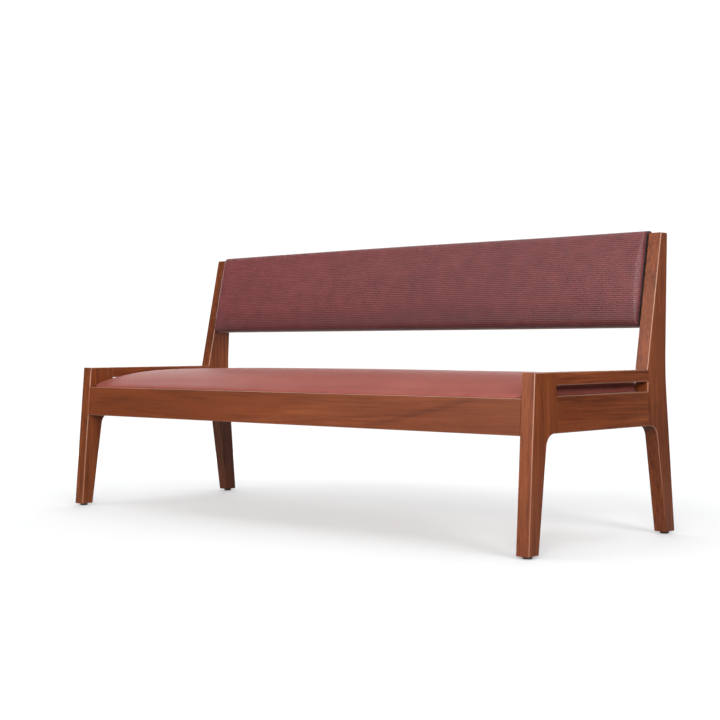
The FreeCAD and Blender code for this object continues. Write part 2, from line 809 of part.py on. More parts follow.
def crowned_back(name, rear, edge, crown, shrink):
    """The back pad's shape: a slab and one frustum that closes in towards the crown in front."""
    block = doc.addObject("Part::Box", name + "_edge")
    for prop, formula in (
        ("Length", "2*pad_half - 2*(%s)" % shrink),
        ("Width", "(%s) + (%s)" % (rear, edge)),
        ("Height", "pad_high - pad_low - 2*(%s)" % shrink),
        ("Placement.Base.x", "-pad_half + (%s)" % shrink),
        ("Placement.Base.y", "-1*(%s)" % edge),
        ("Placement.Base.z", "pad_low + (%s)" % shrink),
    ):
        block.setExpression(prop, bound(formula))
    wedge = doc.addObject("Part::Wedge", name + "_crown")
    wedge.Placement = FreeCAD.Placement(FreeCAD.Vector(), FreeCAD.Rotation(FreeCAD.Vector(1, 0, 0), 180))
    for prop, formula in (
        ("Ymin", "0"),
        ("Ymax", "%s - (%s)" % (crown, edge)),
        ("Xmin", "-pad_half + (%s)" % shrink),
        ("Xmax", "pad_half - (%s)" % shrink),
        ("X2min", "-pad_half + (%s) + pad_round_side" % shrink),
        ("X2max", "pad_half - (%s) - pad_round_side" % shrink),
        ("Zmin", "-pad_high + (%s)" % shrink),
        ("Zmax", "-pad_low - (%s)" % shrink),
        ("Z2min", "-pad_high + (%s) + pad_round" % shrink),
        ("Z2max", "-pad_low - (%s) - pad_round" % shrink),
        ("Placement.Base.y", "-1*(%s)" % edge),
    ):
        wedge.setExpression(prop, bound(formula))
    made = doc.addObject("Part::MultiFuse", name)
    made.Shapes = [block, wedge]
    made.Refine = True
    return made


back_foam = crowned_back("back_foam", "pad_rear - back_board_thick", "pad_edge - skin", "pad_crown - skin", "skin + slack")
back_foam.Label = "back_foam"
lean_over(back_foam)
SUBPARTS.append(back_foam)

wrap_out = crowned_back("back_skin_outside", "pad_rear", "pad_edge", "pad_crown", "0")
wrap_in = crowned_back("back_skin_inside", "pad_rear", "pad_edge - skin + slack", "pad_crown - skin + slack", "skin")
wrap = doc.addObject("Part::Cut", "back_skin_hollow")
wrap.Base = wrap_out
wrap.Tool = wrap_in
pin_way = rod("back_skin_pin_way", "X", "-length/2", "pad_rear - back_board_thick/2", "pin_up", "pin_bore", "length")
back_cover = doc.addObject("Part::Cut", "back_cover")
back_cover.Label = "back_cover"
back_cover.Base = wrap
back_cover.Tool = pin_way
lean_over(back_cover)
SUBPARTS.append(back_cover)

# Steel angle behind each lower corner of the back, on the post's inner face.
for hand, side in SIDES:
    plate = body(hand + "_back_bracket")
    face = sided(side, INNER)
    pad(
        plate,
        "XY_Plane",
        "plate_low",
        [
            (face, "pad_rear + panel_thick"),
            (face, "pad_rear + panel_thick + plate_deep"),
            (sided(side, "length/2 - end_thick - plate_thick"), "pad_rear + panel_thick + plate_deep"),
            (sided(side, "length/2 - end_thick - plate_thick"), "pad_rear + panel_thick + plate_thick"),
            (sided(side, "length/2 - end_thick - plate_wide"), "pad_rear + panel_thick + plate_thick"),
            (sided(side, "length/2 - end_thick - plate_wide"), "pad_rear + panel_thick"),
        ],
        "plate_tall",
    )
    ups = ("plate_low + tack_margin", "plate_low + plate_tall - tack_margin")
    bore(plate, "X", sided(side, "length/2 - end_thick - plate_thick"), side, [("pad_rear + panel_thick + tack_across", up) for up in ups], "tack_bore", "plate_thick", "post_holes")
    bore(plate, "Y", "pad_rear + panel_thick + plate_thick", -1, [(sided(side, "length/2 - end_thick - plate_wide + tack_margin"), up) for up in ups], "tack_bore", "plate_thick", "board_holes")
    lean_over(plate)

# ---- glides -------------------------------------------------------------------------------------------------

FEET = {"front": "-foot_half/2 - leg_foot_back/2", "rear": "foot_half/2 + post_foot_front/2"}
for end, foot_y in FEET.items():
    for hand, side in SIDES:
        glide = body(end + "_" + hand + "_glide")
        profile = sketch_on(glide, "XZ_Plane", "0*length", glide.Label + "_section")
        outline(
            profile,
            [
                ("nail_bore", "nail_cap + 2*slack"),
                ("nail_cup", "nail_cap + 2*slack"),
                ("nail_cup", "0*length"),
                ("glide_toe", "0*length"),
                ("glide_radius", "glide_lip"),
                ("glide_radius", "glide_height"),
                ("nail_bore", "glide_height"),
            ],
        )
        turned = glide.newObject("PartDesign::Revolution", glide.Label + "_turned")
        turned.Profile = profile
        turned.ReferenceAxis = (profile, ["V_Axis"])
        turned.Angle = 360.0
        glide.Tip = turned
        place(glide, sided(side, "length/2 - end_thick/2"), foot_y)

# ---- dowels, screws and bolts -------------------------------------------------------------------------------

side_dowels, rail_dowels, pegs, block_screws, bolts, washers, inserts, seat_screws, pins, tacks, nails = ([] for _ in range(11))
for hand, side in SIDES:
    middle = sided(side, "length/2 - end_thick/2")
    near = sided(side, "length/2 - end_thick/2 - arm_dowel_apart")
    far = sided(side, "length/2 - end_thick/2 + arm_dowel_apart")
    for end, joint in (("front", "-joint_front - dowel_half"), ("rear", "joint_back - dowel_half")):
        for i, (x, up) in enumerate([(middle, "side_dowel_low"), (middle, "side_dowel_high"), (near, "arm_dowel_up"), (far, "arm_dowel_up")]):
            side_dowels.append(rod("side_dowel_%s_%s_%d" % (hand, end, i), "Y", x, joint, up, "dowel_radius", "2*dowel_half"))
    start = sided(side, "length/2 - end_thick - dowel_half")
    run = "X" if side > 0 else "-X"
    for end, y in (("front", "-rail_inner - rail_dowel_in"), ("rear", "rear_rail_front + rail_dowel_in")):
        for up in ("rail_dowel_low", "rail_dowel_high"):
            rail_dowels.append(rod("%s_%s_%s" % (up, hand, end), run, start, y, up, "dowel_radius", "2*dowel_half"))
    for end, y in (("front", "-rail_inner - peg_half"), ("rear", "rear_rail_front - peg_half")):
        for up in ("peg_low", "peg_high"):
            pegs.append(rod("cross_%s_%s_%s" % (up, hand, end), "Y", sided(side, "cross_place"), y, up, "peg_radius", "2*peg_half"))
    for end, y, way in (("front", "-rail_inner + block_side", "-Y"), ("rear", "rear_rail_front - block_side", "Y")):
        for up in ("block_screw_low", "block_screw_high"):
            block_screws.append(screw("%s_%s_%s" % (up, hand, end), way, sided(side, "length/2 - end_thick - block_screw_in"), y, up, "screw_radius", "block_screw_long - 0.5", "screw_head", "screw_cap"))
    for end in BLOCKS:
        y = BLOCKS[end][2]
        seat = sided(side, "length/2 - end_thick - block_side - washer_thick")
        head = doc.addObject("Part::Prism", "bolt_head_%s_%s" % (hand, end))
        head.Polygon = 6
        head.setExpression("Circumradius", bound("bolt_head"))
        head.setExpression("Height", bound("bolt_cap"))
        head.Placement = FreeCAD.Placement(FreeCAD.Vector(), TURNS["-X" if side > 0 else "X"])
        place(head, seat, y, "bolt_up")
        shank = rod("bolt_shank_%s_%s" % (hand, end), run, seat, y, "bolt_up", "bolt_radius", "bolt_long")
        bolt = doc.addObject("Part::Fuse", "bolt_%s_%s" % (hand, end))
        bolt.Base = head
        bolt.Tool = shank
        bolts.append(bolt)
        disc = rod("washer_disc_%s_%s" % (hand, end), run, seat, y, "bolt_up", "washer_radius", "washer_thick")
        hole = rod("washer_hole_%s_%s" % (hand, end), run, seat, y, "bolt_up", "bolt_bore", "washer_thick")
        washer = doc.addObject("Part::Cut", "washer_%s_%s" % (hand, end))
        washer.Base = disc
        washer.Tool = hole
        washers.append(washer)
        face = sided(side, INNER)
        sleeve = rod("insert_sleeve_%s_%s" % (hand, end), run, face, y, "bolt_up", "insert_radius", "insert_long")
        thread = rod("insert_thread_%s_%s" % (hand, end), run, face, y, "bolt_up", "insert_bore", "insert_long")
        insert = doc.addObject("Part::Cut", "insert_%s_%s" % (hand, end))
        insert.Base = sleeve
        insert.Tool = thread
        inserts.append(insert)
    pins.append(rod("back_pin_" + hand, run, sided(side, "pad_half - skin - slack - pin_in + 0.5"), "pad_rear - back_board_thick/2", "pin_up", "pin_radius", "length/2 - end_thick - pad_half + skin + slack + pin_in + pin_out - 1"))
    for up in ("plate_low + tack_margin", "plate_low + plate_tall - tack_margin"):
        tag = hand + "_" + ("high" if "tall" in up else "low")
        tacks.append(screw("post_tack_" + tag, run, sided(side, "length/2 - end_thick - plate_thick"), "pad_rear + panel_thick + tack_across", up, "tack_radius", "tack_long", "tack_head", "tack_cap"))
        tacks.append(screw("board_tack_" + tag, "-Y", sided(side, "length/2 - end_thick - plate_wide + tack_margin"), "pad_rear + panel_thick + plate_thick", up, "tack_radius", "tack_long", "tack_head", "tack_cap"))
    for end, foot_y in FEET.items():
        nails.append(screw("nail_%s_%s" % (hand, end), "Z", middle, foot_y, "nail_cap + slack", "nail_radius", "nail_reach + glide_height - nail_cap - 0.8", "nail_head", "nail_cap", drive=False))
for i, (x, y) in enumerate(SEAT_SCREWS):
    seat_screws.append(screw("seat_screw_%d" % i, "Z", x, y, "cross_low", "screw_radius", "seat_screw_long", "screw_head", "screw_cap"))

group("side_frame_dowels", side_dowels)
group("rail_dowels", rail_dowels)
group("cross_rail_pegs", pegs)
group("corner_block_screws", block_screws)
group("frame_bolts", bolts)
group("frame_washers", washers)
group("threaded_inserts", inserts)
group("seat_screws", seat_screws)
lean_over(group("back_pins", pins))
lean_over(group("back_bracket_screws", tacks))
group("glide_nails", nails)

# ---- check and write -----------------------------------------------------------------------------------------

doc.recompute()
problems = []
for item in doc.Objects:
    if "Invalid" in item.State or "Error" in item.State:
        problems.append("%s: %s" % (item.Name, item.State))
for item in SUBPARTS:
    if item.Shape.isNull() or not item.Shape.isValid() or not item.Shape.Solids:
        problems.append("%s: no valid shape" % item.Label)
if problems:
    raise RuntimeError("; ".join(problems))

os.makedirs("parts", exist_ok=True)
for item in SUBPARTS:
    item.Shape.exportStep("parts/%s.step" % item.Label)
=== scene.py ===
import math

import bpy
import numpy as np
from mathutils import Euler, Matrix, Vector


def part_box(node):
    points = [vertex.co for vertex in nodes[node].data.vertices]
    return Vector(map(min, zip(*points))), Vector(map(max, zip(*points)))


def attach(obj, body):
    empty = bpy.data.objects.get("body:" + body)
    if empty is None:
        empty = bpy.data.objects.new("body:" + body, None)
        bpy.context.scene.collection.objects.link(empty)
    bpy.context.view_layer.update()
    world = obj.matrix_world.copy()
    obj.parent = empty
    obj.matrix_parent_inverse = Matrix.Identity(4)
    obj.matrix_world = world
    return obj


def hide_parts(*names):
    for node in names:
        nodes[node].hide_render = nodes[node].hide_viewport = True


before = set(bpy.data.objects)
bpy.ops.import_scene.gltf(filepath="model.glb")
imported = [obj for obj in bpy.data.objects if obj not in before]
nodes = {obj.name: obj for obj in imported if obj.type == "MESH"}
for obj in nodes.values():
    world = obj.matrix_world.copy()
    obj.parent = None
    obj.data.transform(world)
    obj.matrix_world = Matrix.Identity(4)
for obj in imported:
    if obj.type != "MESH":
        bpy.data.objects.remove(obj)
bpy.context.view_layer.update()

scene = bpy.context.scene


# ---- camera --------------------------------------------------------------------------------------------------
# Eye, direction and lens of the product shot: front right of the bench, at seat height, looking slightly up.

EYE = Vector((2.97465, -3.11313, 0.51542))
YAW, PITCH, ROLL = (math.radians(v) for v in (43.175, -2.6275, -0.2887))
FOCAL_PX = 1426.91

ahead = Vector((-math.sin(YAW) * math.cos(PITCH), math.cos(YAW) * math.cos(PITCH), -math.sin(PITCH)))
right = Vector((math.cos(YAW), math.sin(YAW), 0.0))
up = right.cross(ahead)
side = math.cos(ROLL) * right + math.sin(ROLL) * up
top = -math.sin(ROLL) * right + math.cos(ROLL) * up

lens = bpy.data.cameras.new("camera")
lens.sensor_fit = "HORIZONTAL"
lens.sensor_width = 36.0
lens.lens = FOCAL_PX * 36.0 / 720.0
lens.shift_x = 0.0
lens.shift_y = -80.0 / 720.0
lens.clip_start = 0.05
lens.clip_end = 400.0
eye = bpy.data.objects.new("camera", lens)
eye.matrix_world = Matrix.Translation(EYE) @ Matrix((side, top, -ahead)).transposed().to_4x4()
scene.collection.objects.link(eye)
scene.camera = eye

scene.view_settings.view_transform = "Standard"
scene.view_settings.look = "None"
scene.view_settings.exposure = 0.0
scene.view_settings.gamma = 1.0


# ---- shader building -----------------------------------------------------------------------------------------


def linear(r, g, b):
    """sRGB 0 to 255 as linear RGBA."""
    out = []
    for v in (r, g, b):
        v /= 255.0
        out.append(v / 12.92 if v <= 0.04045 else ((v + 0.055) / 1.055) ** 2.4)
    return (out[0], out[1], out[2], 1.0)


class Shade:
    """A small writer of node trees: every call adds one node and returns its useful socket."""

    def __init__(self, name, **settings):
        self.mat = bpy.data.materials.new(name)
        self.mat.use_nodes = True
        self.tree = self.mat.node_tree
        self.tree.nodes.clear()
        self.out = self.node("ShaderNodeOutputMaterial")
        self.bsdf = self.node("ShaderNodeBsdfPrincipled")
        self.tree.links.new(self.bsdf.outputs[0], self.out.inputs["Surface"])
        for key, value in settings.items():
            self.bsdf.inputs[key.replace("_", " ")].default_value = value

    def node(self, kind, **props):
        made = self.tree.nodes.new(kind)
        for key, value in props.items():
            setattr(made, key, value)
        return made

    def put(self, socket, value):
        if isinstance(value, bpy.types.NodeSocket):
            self.tree.links.new(value, socket)
        else:
            socket.default_value = value

    def place(self):
        return self.node("ShaderNodeTexCoord").outputs["Object"]

    def stretch(self, vector, scale, shift=(0, 0, 0), turn=(0, 0, 0)):
        made = self.node("ShaderNodeMapping")
        self.put(made.inputs["Vector"], vector)
        made.inputs["Location"].default_value = shift
        made.inputs["Rotation"].default_value = turn
        made.inputs["Scale"].default_value = scale
        return made.outputs["Vector"]

    def math(self, op, a, b=0.0, c=0.0, clamp=False):
        made = self.node("ShaderNodeMath", operation=op, use_clamp=clamp)
        for socket, value in zip(made.inputs, (a, b, c)):
            self.put(socket, value)
        return made.outputs[0]

    def vmath(self, op, a, b=(0, 0, 0)):
        made = self.node("ShaderNodeVectorMath", operation=op)
        self.put(made.inputs[0], a)
        self.put(made.inputs[1], b)
        return made.outputs["Value"] if op in ("LENGTH", "DOT_PRODUCT", "DISTANCE") else made.outputs["Vector"]

    def split(self, vector):
        made = self.node("ShaderNodeSeparateXYZ")
        self.put(made.inputs[0], vector)
        return made.outputs

    def join(self, x, y, z):
        made = self.node("ShaderNodeCombineXYZ")
        for socket, value in zip(made.inputs, (x, y, z)):
            self.put(socket, value)
        return made.outputs[0]

    def noise(self, vector, scale=1.0, detail=2.0, rough=0.5, warp=0.0, color=False):
        made = self.node("ShaderNodeTexNoise")
        self.put(made.inputs["Vector"], vector)
        made.inputs["Scale"].default_value = scale
        made.inputs["Detail"].default_value = detail
        made.inputs["Roughness"].default_value = rough
        made.inputs["Distortion"].default_value = warp
        return made.outputs["Color" if color else "Fac"]

    def cells(self, vector, scale=1.0, feature="F1", smooth=0.4, random=1.0):
        made = self.node("ShaderNodeTexVoronoi", feature=feature)
        self.put(made.inputs["Vector"], vector)
        made.inputs["Scale"].default_value = scale
        made.inputs["Randomness"].default_value = random
        if feature == "SMOOTH_F1":
            made.inputs["Smoothness"].default_value = smooth
        return made.outputs["Distance"]

    def span(self, value, low, high, to_low=0.0, to_high=1.0, clamp=True, kind="LINEAR"):
        made = self.node("ShaderNodeMapRange", interpolation_type=kind, clamp=clamp)
        for socket, v in zip(made.inputs, (value, low, high, to_low, to_high)):
            self.put(socket, v)
        return made.outputs[0]

    def ramp(self, value, stops, kind="LINEAR"):
        made = self.node("ShaderNodeValToRGB")
        made.color_ramp.interpolation = kind
        points = made.color_ramp.elements
        while len(points) < len(stops):
            points.new(0.5)
        for point, (at, color) in zip(points, stops):
            point.position = at
            point.color = color
        self.put(made.inputs[0], value)
        return made.outputs[0]

    def blend(self, amount, a, b, mode="MIX"):
        made = self.node("ShaderNodeMix", data_type="RGBA", blend_type=mode)
        self.put(made.inputs[0], amount)
        self.put(made.inputs[6], a)
        self.put(made.inputs[7], b)
        return made.outputs[2]

    def bump(self, height, strength, distance, under=None):
        made = self.node("ShaderNodeBump")
        made.inputs["Strength"].default_value = strength
        made.inputs["Distance"].default_value = distance
        self.put(made.inputs["Height"], height)
        if under is not None:
            self.put(made.inputs["Normal"], under)
        return made.outputs[0]

    def finish(self, color=None, rough=None, normal=None):
        for key, value in (("Base Color", color), ("Roughness", rough), ("Normal", normal)):
            if value is not None:
                self.put(self.bsdf.inputs[key], value)
        return self.mat


def grain_frame(s, along, shift):
    """Object position with the grain turned to local Z: across, across, along."""
    x, y, z = s.split(s.place())[:3]
    turned = {"X": (y, z, x), "Y": (z, x, y), "Z": (x, y, z)}[along]
    return s.vmath("ADD", s.join(*turned), shift)


def wood(name, along, shift, dark, mid, light, rough=0.36, ring=0.0052, pith=(0.06, 0.11), slope=(0.0, 0.0), rings=0.24, streaks=1.0, coat=0.12, pores=1.0, gloss=0.28, worn=None, veins=(), joint=None, foot=1.0, low_rub=0.4):
    """Planed hardwood sawn along one axis: growth rings round a distant pith, fibre streaks and open pores."""
    s = Shade(name)
    s.bsdf.inputs["Specular IOR Level"].default_value = gloss
    s.bsdf.inputs["Coat Weight"].default_value = coat
    s.bsdf.inputs["Coat Roughness"].default_value = 0.22
    s.bsdf.inputs["Coat IOR"].default_value = 1.45
    p = grain_frame(s, along, shift)
    # slow wander of the grain along the board
    drift = s.vmath("SUBTRACT", s.noise(s.stretch(p, (3.5, 3.5, 1.1)), detail=1.0, color=True), (0.5, 0.5, 0.5))
    flow = s.vmath("ADD", p, s.vmath("MULTIPLY", drift, (0.05, 0.05, 0.0)))
    a, b, c = s.split(flow)[:3]
    da = s.math("SUBTRACT", s.math("ADD", a, pith[0]), s.math("MULTIPLY", c, slope[0]))
    db = s.math("SUBTRACT", s.math("ADD", b, pith[1]), s.math("MULTIPLY", c, slope[1]))
    radius = s.math("SQRT", s.math("ADD", s.math("MULTIPLY", da, da), s.math("MULTIPLY", db, db)))
    wave = s.math("ADD", s.math("DIVIDE", radius, ring), s.math("MULTIPLY", s.noise(s.stretch(p, (22.0, 22.0, 2.5)), detail=2.0), 4.5))
    saw = s.math("FRACT", wave)
    late = s.math("MULTIPLY", s.math("POWER", saw, 2.6), s.span(saw, 0.93, 1.0, 1.0, 0.0))
    vary = s.span(s.noise(s.stretch(p, (16.0, 16.0, 2.2)), detail=1.0), 0.35, 0.7, 0.0, 1.0)
    late = s.math("MULTIPLY", late, vary)
    # fibre streaks at three widths
    broad = s.noise(s.stretch(flow, (26.0, 26.0, 1.3)), detail=3.0, rough=0.6)
    fine = s.noise(s.stretch(flow, (240.0, 240.0, 5.0)), detail=3.0, rough=0.6)
    hair = s.noise(s.stretch(flow, (1100.0, 1100.0, 22.0)), detail=1.0)
    cloud = s.noise(s.stretch(p, (5.0, 5.0, 2.0), shift=(3.1, 1.7, 0.4)), detail=2.0)
    narrow = s.noise(s.stretch(flow, (95.0, 95.0, 2.6), shift=(0.7, 1.9, 0.3)), detail=2.0)
    tone = s.math("ADD", 0.5, s.math("MULTIPLY", s.math("SUBTRACT", broad, 0.5), 0.7 * streaks))
    for band, amount in ((narrow, 0.55), (fine, 1.35), (hair, 0.6), (cloud, 0.7)):
        tone = s.math("ADD", tone, s.math("MULTIPLY", s.math("SUBTRACT", band, 0.5), amount * streaks))
    tone = s.math("SUBTRACT", tone, s.math("MULTIPLY", late, rings))
    # single darker veins that run across the board at a slant: middle, height, slant, width, reach, amount
    x, y, z = s.split(s.vmath("ADD", s.place(), s.vmath("MULTIPLY", drift, (0.0, 0.02, 0.02))))[:3]
    for x0, z0, slant, width, reach, amount in veins:
        off = s.math("SUBTRACT", s.math("SUBTRACT", z, z0), s.math("MULTIPLY", s.math("SUBTRACT", x, x0), slant))
        near = s.span(s.math("ABSOLUTE", off), 0.0, width, amount, 0.0, kind="SMOOTHSTEP")
        near = s.math("MULTIPLY", near, s.span(s.math("ABSOLUTE", s.math("SUBTRACT", x, x0)), reach * 0.6, reach, 1.0, 0.0))
        tone = s.math("SUBTRACT", tone, near)
    tone = s.math("MAXIMUM", s.math("MINIMUM", tone, 1.0), 0.0)
    color = s.ramp(tone, [(0.0, dark), (0.5, mid), (1.0, light)])
    # pores: short dark dashes cut by the saw
    pore = s.span(s.cells(s.stretch(flow, (1500.0, 1500.0, 60.0)), random=1.0), 0.05, 0.22, 1.0, 0.0)
    where = s.span(s.noise(s.stretch(flow, (150.0, 150.0, 9.0)), detail=1.0), 0.45, 0.62)
    pore = s.math("MULTIPLY", pore, s.math("MULTIPLY", where, pores))
    color = s.blend(s.math("MULTIPLY", pore, 0.55), color, dark)
    # stain lies a little redder in places
    color = s.blend(s.span(s.noise(s.stretch(p, (14.0, 14.0, 3.0)), detail=2.0), 0.4, 0.75, 0.0, 0.35), color, (mid[0] * 1.04, mid[1] * 0.86, mid[2] * 0.88, 1.0))
    if foot != 1.0:
        # painted shade: the wood is coloured darker low down, below the seat and towards the floor
        deep = s.math("ADD", s.split(s.place())[2], s.math("MULTIPLY", s.math("SUBTRACT", cloud, 0.5), 0.06))
        color = s.blend(s.span(deep, 0.26, 0.42, 1.0, 0.0, kind="SMOOTHSTEP"), color, s.blend(1.0, color, (foot, foot * 0.98, foot * 0.95, 1.0), "MULTIPLY"))
    if worn is not None:
        # wear and painted highlight: along the eased edges, where the surface turns from one face to the next, the
        # stain is rubbed thin and the colour is painted lighter as a highlight
        nx, ny, nz = s.split(s.node("ShaderNodeNewGeometry").outputs["Normal"])[:3]
        if along == "X":
            turn = s.math("MINIMUM", s.math("ABSOLUTE", ny), s.math("ABSOLUTE", nz))
        else:
            flat = s.math("SQRT", s.math("ADD", s.math("MULTIPLY", ny, ny), s.math("MULTIPLY", nz, nz)))
            turn = s.math("MINIMUM", s.math("ABSOLUTE", nx), flat)
        rub = s.span(turn, 0.2, 0.5, kind="SMOOTHSTEP")
        # painted highlight: the lighter edge colour is stronger on edges turned towards +X, where the lamps are
        if along != "X":
            rub = s.math("MULTIPLY", rub, s.span(nx, -0.3, 0.3, 0.35, 1.0))
        rub = s.math("MULTIPLY", rub, s.span(s.noise(s.stretch(p, (60.0, 60.0, 9.0)), detail=2.0), 0.25, 0.6, 0.65, 1.0))
        # painted highlight: weaker low down, where the frame lies in shade
        rub = s.math("MULTIPLY", rub, s.span(s.split(s.place())[2], 0.08, 0.42, low_rub, 1.0))
        if joint is not None:
            # not where a rail butts against the post's inner face
            inner, z_low, z_high = joint
            level = s.split(s.place())[2]
            beside = s.math("MULTIPLY", s.span(level, z_low - 0.004, z_low + 0.002), s.span(level, z_high - 0.002, z_high + 0.004, 1.0, 0.0))
            beside = s.math("MULTIPLY", beside, s.span(s.math("MULTIPLY", nx, inner), 0.0, 0.2))
            rub = s.math("MULTIPLY", rub, s.math("SUBTRACT", 1.0, beside))
        color = s.blend(s.math("MULTIPLY", rub, 0.9), color, worn)
    height = s.math("SUBTRACT", s.math("MULTIPLY", hair, 0.35), pore)
    normal = s.bump(height, 0.35, 0.00012)
    normal = s.bump(s.math("ADD", fine, s.math("MULTIPLY", late, 0.6)), 0.3, 0.00012, normal)
    rough_map = s.span(s.math("ADD", s.math("MULTIPLY", cloud, 0.5), s.math("MULTIPLY", fine, 0.5)), 0.3, 0.7, rough - 0.05, rough + 0.07)
    s.put(s.bsdf.inputs["Coat Normal"], s.bump(cloud, 0.05, 0.002))
    return s.finish(color, rough_map, normal)


def vinyl(name, dark, mid, light, rough=0.42, grain=620.0, depth=0.00022, sheen=0.15, coat=0.0, sheen_tint=(1, 1, 1, 1), gloss=0.5, blotch=0.9, ribs=0.0, crown=None, cloudy=0.8):
    """Expanded vinyl: a fine pebbled grain, faint mottling and a soft sheen."""
    s = Shade(name)
    s.bsdf.inputs["Specular IOR Level"].default_value = gloss
    s.bsdf.inputs["Sheen Weight"].default_value = sheen
    s.bsdf.inputs["Sheen Roughness"].default_value = 0.45
    s.bsdf.inputs["Sheen Tint"].default_value = sheen_tint
    s.bsdf.inputs["Coat Weight"].default_value = coat
    s.bsdf.inputs["Coat Roughness"].default_value = 0.3
    p = s.place()
    warp = s.vmath("MULTIPLY", s.vmath("SUBTRACT", s.noise(p, 160.0, detail=1.0, color=True), (0.5, 0.5, 0.5)), (0.0016, 0.0016, 0.0016))
    q = s.vmath("ADD", p, warp)
    pebble = s.cells(q, grain, "SMOOTH_F1", smooth=0.35)
    crease = s.cells(q, grain * 0.45, "DISTANCE_TO_EDGE")
    dust = s.noise(p, grain * 3.2, detail=2.0)
    mottle = s.noise(p, 26.0, detail=4.0, rough=0.6)
    cloud = s.noise(p, 4.0, detail=2.0)
    tone = s.math("ADD", 0.5, s.math("MULTIPLY", s.math("SUBTRACT", mottle, 0.5), blotch))
    tone = s.math("ADD", tone, s.math("MULTIPLY", s.math("SUBTRACT", cloud, 0.5), cloudy))
    tone = s.math("SUBTRACT", tone, s.span(crease, 0.0, 0.12, 0.18, 0.0))
    if ribs:
        # painted shade: the grooves between the ribs are coloured darker, less towards the left end
        groove_shade = s.node("ShaderNodeAttribute", attribute_type="GEOMETRY", attribute_name="groove_shade").outputs["Fac"]
        groove_shade_fade = s.math("ADD", s.split(p)[0], s.math("MULTIPLY", s.math("SUBTRACT", cloud, 0.5), 0.2))
        groove_shade_fade = s.span(groove_shade_fade, -0.6, 0.25, 0.34, 1.0, kind="SMOOTHSTEP")
        tone = s.math("SUBTRACT", tone, s.math("MULTIPLY", s.math("MULTIPLY", groove_shade, groove_shade_fade), ribs))
    tone = s.math("MAXIMUM", s.math("MINIMUM", tone, 1.0), 0.0)
    color = s.ramp(tone, [(0.0, dark), (0.5, mid), (1.0, light)])
    if ribs:
        # the gaps beside the posts and the tucked lower edge lie in deep shade
        tucked = s.node("ShaderNodeAttribute", attribute_type="GEOMETRY", attribute_name="tucked").outputs["Fac"]
        color = s.blend(tucked, color, s.blend(1.0, color, (0.22, 0.16, 0.16, 1.0), "MULTIPLY"))
    if crown is not None:
        # painted sheen: below the top of the cushion the colour is multiplied darker and redder, so the top reads paler
        # as under a sheen
        low, full, tint = crown
        level = s.math("ADD", s.split(p)[2], s.math("MULTIPLY", s.math("SUBTRACT", cloud, 0.5), 0.012))
        color = s.blend(s.span(level, low, full, kind="SMOOTHSTEP"), s.blend(1.0, color, tint, "MULTIPLY"), color)
    height = s.math("SUBTRACT", s.span(crease, 0.0, 0.16), s.math("MULTIPLY", pebble, 0.9))
    height = s.math("ADD", height, s.math("MULTIPLY", dust, 0.25))
    normal = s.bump(height, 0.55, depth)
    normal = s.bump(mottle, 0.12, 0.0015, normal)
    rough_map = s.span(s.math("ADD", s.math("MULTIPLY", mottle, 0.6), s.math("MULTIPLY", dust, 0.4)), 0.3, 0.7, rough - 0.05, rough + 0.06)
    return s.finish(color, rough_map, normal)


def plywood(name):
    s = Shade(name)
    p = s.place()
    z = s.split(p)[2]
    layer = s.math("FRACT", s.math("DIVIDE", s.math("ADD", z, s.math("MULTIPLY", s.noise(p, 9.0), 0.0006)), 0.0030))
    ply = s.span(layer, 0.42, 0.58, 0.0, 1.0)
    lengthwise = s.noise(s.stretch(p, (2.5, 140.0, 140.0)), detail=3.0, rough=0.6)
    crosswise = s.noise(s.stretch(p, (140.0, 2.5, 140.0)), detail=3.0, rough=0.6)
    tone = s.math("ADD", s.math("MULTIPLY", lengthwise, s.math("SUBTRACT", 1.0, ply)), s.math("MULTIPLY", crosswise, ply))
    color = s.ramp(tone, [(0.25, linear(150, 112, 74)), (0.5, linear(186, 148, 104)), (0.78, linear(208, 174, 130))])
    return s.finish(color, s.span(tone, 0.3, 0.7, 0.62, 0.75), s.bump(tone, 0.4, 0.0004))


def metal(name, tint, rough, scratches):
    s = Shade(name, Metallic=1.0)
    p = s.place()
    spangle = s.cells(p, 420.0, "F1")
    brush = s.noise(s.stretch(p, scratches), detail=3.0, rough=0.7)
    color = s.ramp(s.math("ADD", s.math("MULTIPLY", spangle, 0.5), s.math("MULTIPLY", brush, 0.6)), [(0.15, tuple(v * 0.72 for v in tint[:3]) + (1.0,)), (0.85, tint)])
    return s.finish(color, s.span(brush, 0.3, 0.7, rough - 0.08, rough + 0.1), s.bump(brush, 0.3, 0.0001))


def plastic(name, tint, rough):
    s = Shade(name)
    p = s.place()
    spark = s.noise(p, 1400.0, detail=2.0)
    scuff = s.noise(p, 120.0, detail=4.0, rough=0.7)
    color = s.ramp(scuff, [(0.3, tint), (0.8, tuple(min(1.0, v * 2.2 + 0.01) for v in tint[:3]) + (1.0,))])
    return s.finish(color, s.span(scuff, 0.3, 0.7, rough - 0.08, rough + 0.1), s.bump(spark, 0.5, 0.0002))


def foam_look(name):
    s = Shade(name)
    p = s.place()
    holes = s.cells(p, 1100.0, "F1")
    tone = s.noise(p, 60.0, detail=3.0)
    color = s.ramp(s.math("ADD", s.math("MULTIPLY", tone, 0.6), s.math("MULTIPLY", holes, 0.5)), [(0.2, linear(178, 160, 112)), (0.8, linear(226, 214, 176))])
    return s.finish(color, 0.9, s.bump(holes, 0.7, 0.0006))


# Stain colours of the frame, from the darker long rails to the warmer posts.
DARK = (0.068, 0.0155, 0.0045, 1.0)
MID = (0.158, 0.0368, 0.0096, 1.0)
LIGHT = (0.250, 0.0640, 0.0185, 1.0)
# lighter colour for the eased edges: partly wear, partly painted highlight
EDGE_WEAR_AND_HIGHLIGHT = (0.38, 0.210, 0.145, 1.0)


